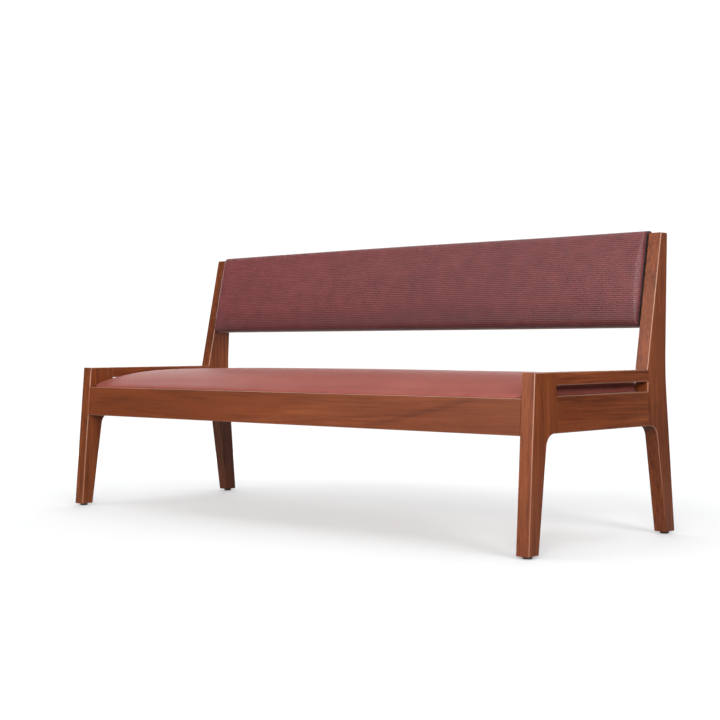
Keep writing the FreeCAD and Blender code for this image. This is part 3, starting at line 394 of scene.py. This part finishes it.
def shade_of(color, r, g, b):
    return (color[0] * r, color[1] * g, color[2] * b, 1.0)


def frame_wood(name, along, shift, r=1.0, g=1.0, b=1.0, **more):
    more.setdefault("worn", EDGE_WEAR_AND_HIGHLIGHT)
    return wood(name, along, shift, shade_of(DARK, r, g, b), shade_of(MID, r, g, b), shade_of(LIGHT, r, g, b), **more)


FRONT_VEINS = (
    (0.605, 0.351, 0.222, 0.011, 0.17, 0.20),
    (0.520, 0.328, 0.200, 0.011, 0.20, 0.16),
    (0.330, 0.322, 0.060, 0.008, 0.22, 0.14),
    (-0.745, 0.347, 0.080, 0.020, 0.10, 0.20),
)

LOOKS = {
    "front_rail": frame_wood("wood_front_rail", "X", (0.31, 0.12, 0.4), 1.0, 1.0, 1.0, pith=(0.05, 0.05), slope=(0.02, -0.014), worn=(0.42, 0.25, 0.19, 1.0), veins=FRONT_VEINS, streaks=0.75),
    "rear_rail": frame_wood("wood_rear_rail", "X", (2.31, 1.12, 3.4), pith=(0.05, 0.07), slope=(0.01, 0.012)),
    "left_front_leg": frame_wood("wood_left_front_leg", "Z", (4.3, 2.1, 1.4), 1.08, 1.15, 1.20, pith=(0.09, 0.05), slope=(0.05, 0.03), foot=1.0, joint=(1.0, 0.2932, 0.3842), streaks=1.2),
    "right_front_leg": frame_wood("wood_right_front_leg", "Z", (1.3, 5.1, 2.4), pith=(0.04, 0.08), slope=(0.03, -0.06), foot=0.90, joint=(-1.0, 0.2932, 0.3842), streaks=1.2),
    "left_rear_post": frame_wood("wood_left_rear_post", "Z", (7.3, 3.1, 1.9), pith=(0.05, 0.09), slope=(0.02, 0.05), foot=0.66, low_rub=0.05, streaks=1.35),
    "right_rear_post": frame_wood("wood_right_rear_post", "Z", (3.7, 6.1, 4.4), pith=(0.09, 0.06), slope=(-0.03, 0.04), foot=0.76, low_rub=0.05, streaks=1.45),
    "left_side_rail": frame_wood("wood_left_side_rail", "Y", (5.3, 4.1, 3.4), pith=(0.06, 0.07), slope=(0.02, 0.02), worn=(0.27, 0.145, 0.10, 1.0), streaks=1.2),
    "right_side_rail": frame_wood("wood_right_side_rail", "Y", (2.9, 7.1, 6.4), pith=(0.06, 0.06), slope=(0.03, 0.02), worn=(0.27, 0.145, 0.10, 1.0), streaks=1.2),
    "left_arm_rail": frame_wood("wood_left_arm_rail", "Y", (8.3, 1.1, 5.4), pith=(0.08, 0.07), slope=(0.02, 0.04), worn=(0.27, 0.145, 0.10, 1.0), streaks=1.5),
    "right_arm_rail": frame_wood("wood_right_arm_rail", "Y", (6.6, 2.7, 7.4), pith=(0.07, 0.08), slope=(0.05, 0.03), worn=(0.27, 0.145, 0.10, 1.0), streaks=1.5),
}
PALE = (linear(150, 108, 66), linear(190, 148, 100), linear(214, 178, 132))
for index, name in enumerate(("left_cross_rail", "right_cross_rail")):
    LOOKS[name] = wood("wood_" + name, "Y", (1.7 * index + 0.4, 2.2, 5.1), *PALE, rough=0.6, coat=0.0, rings=0.4)
for index, name in enumerate(("front_left_corner_block", "front_right_corner_block", "rear_left_corner_block", "rear_right_corner_block")):
    LOOKS[name] = wood("wood_" + name, "Z", (1.3 * index + 0.9, 0.7 * index, 2.1), *PALE, rough=0.62, coat=0.0, rings=0.5)
beech = wood("wood_dowels", "Y", (0.2, 0.5, 0.1), linear(168, 124, 80), linear(206, 166, 120), linear(224, 190, 146), rough=0.55, coat=0.0)
for name in ("side_frame_dowels", "rail_dowels", "cross_rail_pegs"):
    LOOKS[name] = beech
ply = plywood("plywood_birch")
for name in ("seat_board", "back_board"):
    LOOKS[name] = ply
foam = foam_look("foam_open_cell")
for name in ("seat_foam", "back_foam"):
    LOOKS[name] = foam
zinc = metal("steel_zinc", (0.62, 0.62, 0.58, 1.0), 0.34, (300.0, 300.0, 40.0))
for name in ("corner_block_screws", "frame_bolts", "frame_washers", "threaded_inserts", "seat_screws", "back_pins", "back_bracket_screws", "glide_nails", "left_back_bracket", "right_back_bracket"):
    LOOKS[name] = zinc
nylon = plastic("plastic_glide", (0.012, 0.011, 0.010, 1.0), 0.5)
for name in ("front_left_glide", "front_right_glide", "rear_left_glide", "rear_right_glide"):
    LOOKS[name] = nylon

# the seat's skirt is coloured darker and redder than its top: painted sheen
seat_vinyl = vinyl("vinyl_seat", (0.255, 0.0665, 0.0530, 1.0), (0.315, 0.0920, 0.0733, 1.0), (0.365, 0.1125, 0.0920, 1.0), rough=0.52, sheen=0.0, gloss=0.11, crown=(0.388, 0.414, (0.88, 0.82, 0.82, 1.0)))
back_vinyl = vinyl("vinyl_back", (0.058, 0.0085, 0.0090, 1.0), (0.180, 0.0350, 0.0360, 1.0), (0.260, 0.0600, 0.0590, 1.0), rough=0.42, sheen=0.10, gloss=0.55, blotch=0.50, ribs=0.50, cloudy=0.25)
# pale greyish taupe for the pad's underside: painted reflection of the white floor
underside_reflection = vinyl("vinyl_underside_reflection", (0.270, 0.215, 0.190, 1.0), (0.380, 0.310, 0.280, 1.0), (0.480, 0.400, 0.365, 1.0), rough=0.6, sheen=0.0, gloss=0.3)
panel_vinyl = vinyl("vinyl_panel", (0.060, 0.0120, 0.0120, 1.0), (0.100, 0.0215, 0.0210, 1.0), (0.140, 0.0330, 0.0320, 1.0), rough=0.5, sheen=0.08, gloss=0.4)
LOOKS["back_rear_panel"] = panel_vinyl
LOOKS["seat_cover"] = seat_vinyl
LOOKS["back_cover"] = back_vinyl

for name, material in LOOKS.items():
    thing = nodes[name]
    if not thing.material_slots:
        thing.data.materials.append(material)
    for place in thing.material_slots:
        place.link = "OBJECT"
        place.material = material


# ---- cushion building ----------------------------------------------------------------------------------------


def mesh_object(name, verts, faces, material, smooth=True):
    mesh = bpy.data.meshes.new(name)
    mesh.from_pydata([tuple(float(c) for c in v) for v in verts], [], faces)
    mesh.validate()
    mesh.update()
    mesh.polygons.foreach_set("use_smooth", [smooth] * len(mesh.polygons))
    made = bpy.data.objects.new(name, mesh)
    scene.collection.objects.link(made)
    if material is not None:
        mesh.materials.append(material)
    return made


def rounded_plan(gx, gy, half_x, half_y, radius):
    """Grid of plan points whose outline is a rectangle with rounded corners."""
    x, y = np.meshgrid(gx, gy, indexing="ij")
    sx, sy = np.sign(x), np.sign(y)
    ix, iy = half_x - radius, half_y - radius
    s = np.clip((np.abs(x) - ix) / radius, 0.0, 1.0)
    t = np.clip((np.abs(y) - iy) / radius, 0.0, 1.0)
    corner = (s > 0) & (t > 0)
    px = np.where(corner, sx * (ix + radius * s * np.sqrt(1.0 - t * t / 2.0)), x)
    py = np.where(corner, sy * (iy + radius * t * np.sqrt(1.0 - s * s / 2.0)), y)
    return px, py


def edge_distance(x, y, half_x, half_y, radius):
    dx, dy = half_x - np.abs(x), half_y - np.abs(y)
    inner = (dx < radius) & (dy < radius)
    return np.where(inner, radius - np.hypot(radius - dx, radius - dy), np.minimum(dx, dy))


def spaced(total, step, ends=()):
    """Levels from -total to total: a list of distances from each end, then even steps between."""
    inner = ends[-1] if len(ends) else 0.0
    count = max(2, int(round(2.0 * (total - inner) / step)))
    middle = np.linspace(-(total - inner), total - inner, count + 1)
    low = [-total + d for d in ends[:-1]] if len(ends) else []
    return np.array(low + list(middle) + [-v for v in reversed(low)])


def catmull(samples, at, values):
    """Cubic interpolation of rows of values given at sorted samples, with no overshoot."""
    index = np.clip(np.searchsorted(samples, at) - 1, 0, len(samples) - 2)
    x0, x1 = samples[index], samples[index + 1]
    t = np.clip((at - x0) / (x1 - x0), 0.0, 1.0)
    shape = (-1,) + (1,) * (values.ndim - 1)
    rise = np.diff(values, axis=0) / np.diff(samples).reshape(shape)
    before, after = rise[:-1], rise[1:]
    same = before * after > 0
    middle = np.where(same, 2.0 * before * after / np.where(same, before + after, 1.0), 0.0)
    slope = np.concatenate([rise[:1], middle, rise[-1:]])
    t, h = t.reshape(shape), (x1 - x0).reshape(shape)
    v0, v1, m0, m1 = values[index], values[index + 1], slope[index] * h, slope[index + 1] * h
    return (2 * t**3 - 3 * t**2 + 1) * v0 + (t**3 - 2 * t**2 + t) * m0 + (-2 * t**3 + 3 * t**2) * v1 + (t**3 - t**2) * m1


def grid_faces(n, m, start=0, flip=False):
    faces = []
    for i in range(n - 1):
        for j in range(m - 1):
            a = start + i * m + j
            quad = (a, a + m, a + m + 1, a + 1)
            faces.append(quad[::-1] if flip else quad)
    return faces


def rim_of(n, m, start=0):
    """Indices round the outline of a grid, each once, in order."""
    rim = [start + i * m for i in range(n)]
    rim += [start + (n - 1) * m + j for j in range(1, m)]
    rim += [start + i * m + m - 1 for i in range(n - 2, -1, -1)]
    rim += [start + j for j in range(m - 2, 0, -1)]
    return rim


def swell(name, points, pressure, cap, tension, bending, down):
    """Cloth under pressure over a grid of points whose outline is held. Returns how far each point moved."""
    n, m = points.shape[:2]
    flat = points.reshape(-1, 3)
    faces = grid_faces(n, m)
    rim = rim_of(n, m)
    base = len(flat)
    lower = [flat[k] + np.array(down) for k in rim]
    for k in range(len(rim)):
        k2 = (k + 1) % len(rim)
        faces.append((rim[k2], rim[k], base + k, base + k2))
    faces.append(tuple(base + k for k in range(len(rim)))[::-1])
    shell = mesh_object(name, list(flat) + lower, faces, None)
    held = shell.vertex_groups.new(name="held")
    held.add(rim + [base + k for k in range(len(rim))], 1.0, "REPLACE")
    cloth = shell.modifiers.new("cloth", "CLOTH")
    how = cloth.settings
    how.quality = 8
    how.mass = 0.4
    how.tension_stiffness = tension
    how.compression_stiffness = tension
    how.shear_stiffness = tension * 0.6
    how.bending_stiffness = bending
    how.tension_damping = 8.0
    how.compression_damping = 8.0
    how.bending_damping = 1.0
    how.air_damping = 3.0
    how.use_pressure = True
    how.uniform_pressure_force = pressure
    how.vertex_group_mass = "held"
    how.pin_stiffness = 1.0
    how.effector_weights.gravity = 0.0
    cloth.collision_settings.use_collision = False
    cloth.point_cache.frame_start = 1
    cloth.point_cache.frame_end = 20
    scene.frame_start, scene.frame_end = 1, 20
    for step in range(1, 21):
        scene.frame_set(step)
        bpy.context.view_layer.update()
    seen = shell.evaluated_get(bpy.context.evaluated_depsgraph_get())
    moved = np.zeros(len(seen.data.vertices) * 3, np.float32)
    seen.data.vertices.foreach_get("co", moved)
    moved = moved.reshape(-1, 3)[: n * m].astype(float) - flat
    scene.frame_set(1)
    mesh = shell.data
    bpy.data.objects.remove(shell)
    bpy.data.meshes.remove(mesh)
    size = np.linalg.norm(moved, axis=1, keepdims=True)
    print("swell", name, "most", round(float(size.max()) * 1000, 2), "mean", round(float(size.mean()) * 1000, 2))
    moved *= cap * np.tanh(size / cap) / np.maximum(size, 1e-9)
    return moved.reshape(n, m, 3)


def ease(value, reach):
    """0 at the outline, rising smoothly to 1 at reach, so that a swelling meets its edge without a crease."""
    t = np.clip(value / reach, 0.0, 1.0)
    return t * t * (3.0 - 2.0 * t)


# ---- seat cushion --------------------------------------------------------------------------------------------

low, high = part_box("seat_cover")
board_low, board_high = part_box("seat_board")
HALF_X = (high.x - low.x) / 2.0
HALF_Y = (high.y - low.y) / 2.0
MID_Y = (high.y + low.y) / 2.0
SEAT_LOW = low.z + 0.0002
SEAT_CORNER = 0.0385
SEAT_ROLL, SEAT_ROLL_UP = 0.0259, 0.0089
SEAT_CROWN = 0.0597


def seat_height(x, y):
    """A rolled edge all round, then a dome: steep at the ends, a long slope in front, fuller at the rear."""
    u = np.clip(np.abs(x) / HALF_X, 0.0, 1.0)
    v = np.clip(np.abs(y) / HALF_Y, 0.0, 1.0)
    fore = (1.0 - v ** (2.45 + 0.75 * u**8)) ** (1.0 / 0.82)
    rear = (1.0 - v**6.0) ** (1.0 / 1.5)
    dome = (1.0 - u**4.2) ** (1.0 / 7.45) * np.where(y < 0.0, fore, rear)
    # the foam is a little tired on the right
    dome *= 1.0 - 0.05 * ease(x + 0.05, 0.5)
    t = np.clip(edge_distance(x, y, HALF_X, HALF_Y, SEAT_CORNER) / SEAT_ROLL, 0.0, 1.0)
    roll = np.sqrt(np.clip(1.0 - (1.0 - t) ** 2, 0.0, 1.0))
    return SEAT_ROLL_UP * roll + (SEAT_CROWN - SEAT_ROLL_UP) * dome


def seat_points(gx, gy, sink=0.0):
    px, py = rounded_plan(gx, gy, HALF_X, HALF_Y, SEAT_CORNER)
    pz = seat_height(px, py) * (1.0 - sink)
    return np.stack([px, py + MID_Y, SEAT_LOW + pz], -1)


# The ends climb almost upright, so their columns are spaced by height rather than by distance.
END_STEPS = (0.0, 1e-7, 1e-5, 1.2e-4, 7e-4, 0.002, 0.0042, 0.0075, 0.0125, 0.0195, 0.029, 0.041)
SIDE_STEPS = (0.0, 3e-4, 0.0010, 0.0021, 0.0037, 0.0058, 0.0085, 0.012, 0.0165, 0.022, 0.0285, 0.0365)
coarse_x = spaced(HALF_X, 0.020, (0.0, 1e-5, 0.002, 0.0125, 0.029))
coarse_y = spaced(HALF_Y, 0.016, (0.0, 0.0058, 0.0165))
fine_x = spaced(HALF_X, 0.0125, END_STEPS)
fine_y = spaced(HALF_Y, 0.009, SIDE_STEPS)
start = seat_points(coarse_x, coarse_y, 0.03)
moved = swell("seat_shell", start, 4.0, 0.004, 40.0, 2.0, (0, 0, -0.01))
moved *= ease(edge_distance(start[..., 0], start[..., 1] - MID_Y, HALF_X, HALF_Y, SEAT_CORNER), 0.06)[..., None]
fine = seat_points(fine_x, fine_y, 0.03)
spread = catmull(coarse_x, fine_x, moved)
spread = catmull(coarse_y, fine_y, spread.transpose(1, 0, 2)).transpose(1, 0, 2)
seat_top = fine + spread
# the tension of the cover holds the crown to its height, and pulls the long edges in between the corners
seat_top[..., 2] = SEAT_LOW + (seat_top[..., 2] - SEAT_LOW) * (SEAT_CROWN / (seat_top[..., 2].max() - SEAT_LOW))
pull = 0.0016 * (1.0 - (seat_top[..., 0] / HALF_X) ** 4)
seat_top[..., 1] -= np.sign(seat_top[..., 1] - MID_Y) * pull * np.clip(np.abs(seat_top[..., 1] - MID_Y) / HALF_Y, 0.0, 1.0) ** 6
n, m = seat_top.shape[:2]
verts = list(seat_top.reshape(-1, 3))
faces = grid_faces(n, m)
rim = rim_of(n, m)
# Underneath, the vinyl turns in below the foam's edge and stops at the board.
loops = [rim]
centre = np.array([0.0, MID_Y, 0.0])
for inset, level in ((0.0012, SEAT_LOW - 0.0004), (0.010, SEAT_LOW - 0.0004), (0.0148, SEAT_LOW + 0.0002), (0.0148, board_high.z + 0.0006)):
    loop = []
    for k in rim:
        x, y, _ = verts[k]
        loop.append(len(verts))
        sx = (HALF_X - inset) / HALF_X
        sy = (HALF_Y - inset) / HALF_Y
        verts.append(np.array([x * sx, (y - MID_Y) * sy + MID_Y, level]))
    loops.append(loop)
for upper, lower in zip(loops, loops[1:]):
    for k in range(len(rim)):
        k2 = (k + 1) % len(rim)
        faces.append((upper[k2], upper[k], lower[k], lower[k2]))
faces.append(tuple(reversed(loops[-1])))
seat = mesh_object("seat_cushion", verts, faces, seat_vinyl)
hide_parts("seat_cover", "seat_foam")
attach(seat, "root")


# ---- back pad ------------------------------------------------------------------------------------------------
# Built upright in the leaning plane of the post fronts, then leaned over: across, depth (front negative), up.

LEAN = math.radians(11.95)
SEAT_PLANE = Vector((0.0, 0.2071, 0.4473))
PAD_HALF_X, PAD_LOW, PAD_HIGH = 0.871, 0.1215, 0.388
PAD_HALF_Z = (PAD_HIGH - PAD_LOW) / 2.0
PAD_MID_Z = (PAD_HIGH + PAD_LOW) / 2.0
PAD_REAR = 0.0269
PAD_CORNER = 0.012
PAD_EDGE, PAD_ROLL_UP, PAD_CROWN = -0.002, 0.0110, 0.0262
PAD_ROLL = 0.018
RIB = 0.0058


def lean_over(points):
    """From (across, depth, up) in the leaning plane to the row frame."""
    x, d, h = points[..., 0], points[..., 1], points[..., 2]
    c, s = math.cos(LEAN), math.sin(LEAN)
    return np.stack([x, SEAT_PLANE.y + s * h + c * d, SEAT_PLANE.z + c * h - s * d], -1)


def pad_depth(x, z):
    u = np.clip(np.abs(x) / PAD_HALF_X, 0.0, 1.0)
    v = np.clip(np.abs(z) / PAD_HALF_Z, 0.0, 1.0)
    dome = (1.0 - u**18.0) ** (1.0 / 1.6) * (1.0 - v**2.1) ** (1.0 / 1.05)
    t = np.clip(edge_distance(x, z, PAD_HALF_X, PAD_HALF_Z, PAD_CORNER) / PAD_ROLL, 0.0, 1.0)
    roll = (1.0 - (1.0 - t) ** 2.2) ** (1.0 / 2.0)
    return PAD_EDGE + PAD_ROLL_UP * roll + (PAD_CROWN - PAD_EDGE - PAD_ROLL_UP) * dome


def pad_points(gx, gz, sink=0.0):
    px, pz = rounded_plan(gx, gz, PAD_HALF_X, PAD_HALF_Z, PAD_CORNER)
    return np.stack([px, -pad_depth(px, pz) * (1.0 - sink), pz + PAD_MID_Z], -1)


# How far the upper and lower edges of the stuffed cover stray from straight, along the length.
STRAY_X = np.array([-0.871, -0.6, -0.3, 0.0, 0.3, 0.6, 0.871])
STRAY_TOP = np.array([0.0012, 0.0022, 0.0028, 0.0025, 0.0010, -0.0003, -0.0003])
STRAY_LOW = np.array([0.0026, 0.0019, 0.0011, 0.0003, -0.0005, -0.0012, -0.0016])

# How tightly the rounded ends bend, up their height.
BOW_SHARE = np.array([0.0, 0.05, 0.107, 0.257, 0.40, 0.557, 0.70, 0.79, 0.86, 1.0])
BOW_TIGHT = np.array([0.80, 0.78, 0.64, 0.26, 0.05, 0.0, 0.20, 0.42, 0.60, 0.75])

# Rows follow the ribs: nine to each, closer in the grooves.
PHASES = (0.0, 0.09, 0.18, 0.29, 0.43, 0.57, 0.71, 0.82, 0.91)
RIDGE = (-1.0, -0.62, -0.08, 0.1, 0.16, 0.16, 0.1, -0.08, -0.62)
line = np.linspace(-PAD_HALF_Z, PAD_HALF_Z, 4001)
depth_line = pad_depth(np.zeros_like(line), line)
length = np.concatenate([[0.0], np.cumsum(np.hypot(np.diff(line), np.diff(depth_line)))])
ribs_half = int(length[-1] / 2.0 / RIB) + 1
rows, ridges = [], []
for k in range(-ribs_half, ribs_half + 1):
    for phase, ridge in zip(PHASES, RIDGE):
        s = length[-1] / 2.0 + (k + phase) * RIB
        if 0.0004 < s < length[-1] - 0.0004:
            rows.append(float(np.interp(s, length, line)))
            ridges.append(ridge)
pad_z = np.array([-PAD_HALF_Z] + rows + [PAD_HALF_Z])
ridges = np.array([0.0] + ridges + [0.0])
PAD_ENDS = (0.0, 3e-4, 0.0010, 0.0021, 0.0037, 0.0058, 0.0085, 0.0115, 0.015, 0.019, 0.024, 0.030)
pad_x = spaced(PAD_HALF_X, 0.0125, PAD_ENDS)
coarse_x = spaced(PAD_HALF_X, 0.018, (0.0, 0.0058, 0.015))
coarse_z = spaced(PAD_HALF_Z, 0.012, (0.0, 0.0058, 0.015))
start = pad_points(coarse_x, coarse_z, 0.05)
moved = swell("back_shell", start[:, ::-1, :], 0.5, 0.003, 40.0, 2.0, (0, 0.01, 0))[:, ::-1, :]
moved *= ease(edge_distance(start[..., 0], start[..., 2] - PAD_MID_Z, PAD_HALF_X, PAD_HALF_Z, PAD_CORNER), 0.05)[..., None]
fine = pad_points(pad_x, pad_z, 0.05)
spread = catmull(coarse_x, pad_x, moved)
spread = catmull(coarse_z, pad_z, spread.transpose(1, 0, 2)).transpose(1, 0, 2)
front = fine + spread
front[..., 1] *= PAD_CROWN / -front[..., 1].min()
n, m = front.shape[:2]
verts = list(front.reshape(-1, 3))
heights = list(np.tile(ridges, n))
faces = grid_faces(n, m)
rim = rim_of(n, m)
edge = [verts[k].copy() for k in rim]
out = []
for k in range(len(rim)):
    along = edge[(k + 1) % len(rim)] - edge[k - 1]
    normal = np.array([along[2], 0.0, -along[0]])
    normal /= max(1e-9, np.linalg.norm(normal))
    if normal @ (edge[k] - np.array([0.0, 0.0, PAD_MID_Z])) < 0:
        normal = -normal
    out.append(normal)
loops = [rim]
reach = PAD_REAR + PAD_EDGE
depth = 0.0
walls = []
step = 0
while depth < reach - 0.0009:
    for phase, ridge in zip(PHASES, RIDGE):
        depth = (step + phase) * RIB
        if 0.0006 < depth < reach - 0.0006:
            walls.append((depth, ridge))
    step += 1
walls = [(d, r) for d, r in walls if d < reach - 0.0006] + [(reach, 0.0)]
for depth, ridge in walls:
    t = depth / reach
    bulge = 0.0016 * math.sin(math.pi * min(1.0, t * 1.05)) * (1 - t) ** 0.3
    loop = []
    for k, normal in zip(range(len(rim)), out):
        across = abs(normal[2])
        loop.append(len(verts))
        bow = bulge * across
        tuck = 0.0022 * max(0.0, 1.0 - (reach - depth) / 0.004) ** 2
        verts.append(np.array([edge[k][0], edge[k][1] + depth, edge[k][2]]) + normal * (bow - tuck))
        heights.append(ridge * across + heights[rim[k]] * (1.0 - across))
    loops.append(loop)
for upper, lower in zip(loops, loops[1:]):
    for k in range(len(rim)):
        k2 = (k + 1) % len(rim)
        faces.append((upper[k2], upper[k], lower[k], lower[k2]))
# behind, the vinyl is turned in over the board and stapled under the rear panel
last = loops[-1]
turned = []
for k, normal in zip(range(len(rim)), out):
    turned.append(len(verts))
    v = verts[last[k]]
    verts.append(np.array([v[0], v[1] + 0.00005, v[2]]) - normal * 0.012)
    heights.append(0.0)
for k in range(len(rim)):
    k2 = (k + 1) % len(rim)
    faces.append((last[k2], last[k], turned[k], turned[k2]))
faces.append(tuple(reversed(turned)))
points = np.array(verts)
share = np.clip((points[:, 2] - PAD_LOW) / (PAD_HIGH - PAD_LOW), 0.0, 1.0)
# the rounded ends bow: their bend lies well in at half height and close to the end at the corners
inward = np.clip(PAD_HALF_X - np.abs(points[:, 0]), 0.0, None)
tight = np.clip(catmull(BOW_SHARE, share, BOW_TIGHT), 0.0, 0.9)
tight = np.where(points[:, 0] > 0.0, tight, 0.5 * tight)
points[:, 0] += np.sign(points[:, 0]) * inward * tight * (1.0 - ease(inward - 0.010, 0.042))
# between the posts the ends draw in, more towards the top, and the upper corners stand up a little at the rear
drawn = ease(points[:, 1] + 0.004, 0.008) * ease(np.abs(points[:, 0]) - (PAD_HALF_X - 0.02), 0.02)
points[:, 0] -= np.sign(points[:, 0]) * drawn * (0.0008 + 0.0030 * share) * (1.0 - 0.8 * ease(points[:, 1] - 0.010, 0.016))
corner = ease(points[:, 1] - 0.001, 0.022) * ease(np.abs(points[:, 0]) - (PAD_HALF_X - 0.05), 0.05)
points[:, 2] += 0.0046 * corner * ease(share - 0.9, 0.1)
# how far each point is in the shade of its neighbours: the gaps beside the posts and the tucked lower edge
tucked = ease(points[:, 1] + 0.0045, 0.006) * ease(np.abs(points[:, 0]) - (PAD_HALF_X - 0.006), 0.003)
tucked = np.maximum(tucked, 0.62 * (1.0 - ease(points[:, 2] - PAD_LOW - 0.0005, 0.013)) * (points[:, 1] < 0.004))
tucked = np.maximum(tucked, 0.42 * (1.0 - ease(points[:, 2] - PAD_LOW - 0.006, 0.075)) * (points[:, 1] < 0.004))
# the painted groove shade is weaker towards the left end
far = 1.0 - 0.35 * ease(-points[:, 0] - 0.35, 0.5)
points[:, 2] += share * catmull(STRAY_X, points[:, 0], STRAY_TOP) + (1.0 - share) * catmull(STRAY_X, points[:, 0], STRAY_LOW)
points = lean_over(points)
back = mesh_object("back_pad", points, faces, back_vinyl)
normals = np.zeros(len(points) * 3, np.float32)
back.data.vertex_normals.foreach_get("vector", normals)
normals = normals.reshape(-1, 3)
points = points + normals * (np.array(heights)[:, None] * 0.00060)
back.data.vertices.foreach_set("co", points.astype(np.float32).ravel())
back.data.update()
# painted reflection: the strip underneath, behind the rounded front edge, is coloured pale greyish taupe for the white
# floor it reflects
back.data.materials.append(underside_reflection)
below = set(k for k, normal in enumerate(out) if normal[2] < -0.8)
first_wall = (n - 1) * (m - 1)
for index, polygon in enumerate(back.data.polygons):
    ring, k = divmod(index - first_wall, len(rim))
    if index >= first_wall and 0 <= ring < len(loops) - 1 and k in below and (k + 1) % len(rim) in below and walls[max(0, ring - 1)][0] > 0.0035:
        polygon.material_index = 1
# painted shade in the grooves between the ribs, weaker towards the left end
groove_shade = back.data.attributes.new("groove_shade", "FLOAT", "POINT")
groove_shade.data.foreach_set("value", (far * np.clip((0.16 - np.array(heights)) / 1.16, 0.0, 1.0) ** 0.6).astype(np.float32))
shaded = back.data.attributes.new("tucked", "FLOAT", "POINT")
shaded.data.foreach_set("value", tucked.astype(np.float32))
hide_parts("back_cover", "back_foam", "back_board")
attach(back, "root")


# ---- floor and light -----------------------------------------------------------------------------------------

floor_shade = Shade("floor_plain", Roughness=0.9)
floor_shade.bsdf.inputs["Specular IOR Level"].default_value = 0.1
speck = floor_shade.noise(floor_shade.place(), 3.0, detail=2.0)
floor_look = floor_shade.finish(floor_shade.ramp(speck, [(0.0, (0.743, 0.752, 0.760, 1.0)), (1.0, (0.761, 0.770, 0.778, 1.0))]))
# The sweep throws back less light than a white floor would, so that the underside stays in shade.
floor_shade.bsdf.inputs["Emission Color"].default_value = (1.0, 1.0, 1.0, 1.0)
floor_shade.bsdf.inputs["Emission Strength"].default_value = 0.14
dull = floor_shade.node("ShaderNodeBsdfDiffuse")
dull.inputs["Color"].default_value = (0.42, 0.42, 0.42, 1.0)
pick = floor_shade.node("ShaderNodeMixShader")
floor_shade.put(pick.inputs[0], floor_shade.node("ShaderNodeLightPath").outputs["Is Camera Ray"])
floor_shade.tree.links.new(dull.outputs[0], pick.inputs[1])
floor_shade.tree.links.new(floor_shade.bsdf.outputs[0], pick.inputs[2])
floor_shade.tree.links.new(pick.outputs[0], floor_shade.out.inputs["Surface"])
FLOOR_REACH = 3.4
BEHIND = 0.55
circle = [(math.cos(math.tau * k / 96), math.sin(math.tau * k / 96)) for k in range(96)]
floor_points, floor_faces = [], []
for ring in (0.6, 1.3, 2.2, FLOOR_REACH):
    floor_points += [(ring * 1.15 * c, ring * s * (BEHIND if s > 0 else 1.0), 0.0) for c, s in circle]
floor_faces.append(tuple(range(96)))
for ring in range(3):
    for k in range(96):
        k2 = (k + 1) % 96
        floor_faces.append((ring * 96 + k, ring * 96 + 96 + k, ring * 96 + 96 + k2, ring * 96 + k2))
floor = mesh_object("floor", floor_points, floor_faces, floor_look)

world = bpy.data.worlds.new("studio")
scene.world = world
world.use_nodes = True
tree = world.node_tree
tree.nodes.clear()
out_node = tree.nodes.new("ShaderNodeOutputWorld")
seen = tree.nodes.new("ShaderNodeBackground")
lit = tree.nodes.new("ShaderNodeBackground")
choose = tree.nodes.new("ShaderNodeMixShader")
path = tree.nodes.new("ShaderNodeLightPath")
seen.inputs["Color"].default_value = (1.0, 1.0, 1.0, 1.0)
seen.inputs["Strength"].default_value = 1.05
lit.inputs["Color"].default_value = (1.0, 1.0, 1.0, 1.0)
lit.inputs["Strength"].default_value = 0.0
tree.links.new(path.outputs["Is Camera Ray"], choose.inputs[0])
tree.links.new(lit.outputs[0], choose.inputs[1])
tree.links.new(seen.outputs[0], choose.inputs[2])
tree.links.new(choose.outputs[0], out_node.inputs["Surface"])


def aim(obj, target):
    direction = Vector(target) - obj.location
    obj.rotation_mode = "QUATERNION"
    obj.rotation_quaternion = direction.to_track_quat("-Z", "Y")


def softbox(name, place, target, width, tall, power, color=(1, 1, 1)):
    data = bpy.data.lights.new(name, "AREA")
    data.shape = "RECTANGLE"
    data.size, data.size_y = width, tall
    data.energy = power
    data.color = color
    made = bpy.data.objects.new(name, data)
    made.location = place
    aim(made, target)
    made.visible_camera = False
    scene.collection.objects.link(made)
    return made


def sun(name, azimuth, elevation, angle, strength, color=(1, 1, 1)):
    data = bpy.data.lights.new(name, "SUN")
    data.angle = math.radians(angle)
    data.energy = strength
    data.color = color
    made = bpy.data.objects.new(name, data)
    a, e = math.radians(azimuth), math.radians(elevation)
    made.location = Vector((math.cos(a) * math.cos(e), math.sin(a) * math.cos(e), math.sin(e))) * 10.0
    aim(made, (0, 0, 0))
    scene.collection.objects.link(made)
    return made


# Azimuth runs from +X towards +Y, so the key stands to the right and a little in front. The rest are the soft
# light that the white walls and ceiling of a studio give back.
sun("key", -22.4, 20.0, 16.0, 0.62)
softbox("camera_fill", (3.4, -3.9, 1.9), (0.2, -0.2, 0.45), 1.6, 1.2, 136.0)
softbox("front_fill", (2.0, -4.5, 1.7), (0.3, 0.0, 0.5), 1.2, 1.2, 32.0)
softbox("front_left", (-2.4, -3.6, 2.0), (0.0, 0.0, 0.4), 2.5, 2.0, 38.0)
softbox("right_side", (3.6, -0.6, 1.8), (0.4, 0.0, 0.4), 1.4, 1.4, 36.0)
softbox("back_wall", (-2.05, 2.19, 1.1), (0.0, 0.0, 0.4), 5.0, 2.2, 95.0)
softbox("back_right", (0.4, 2.6, 1.0), (0.0, 0.0, 0.4), 3.0, 2.0, 14.0)
softbox("ceiling", (0.0, 0.2, 3.2), (0.0, 0.2, 0.0), 5.0, 4.0, 68.0)
softbox("front_wall", (0.6, -4.6, 1.6), (0.0, 0.0, 0.4), 6.0, 2.8, 118.0)

scene.frame_set(1)
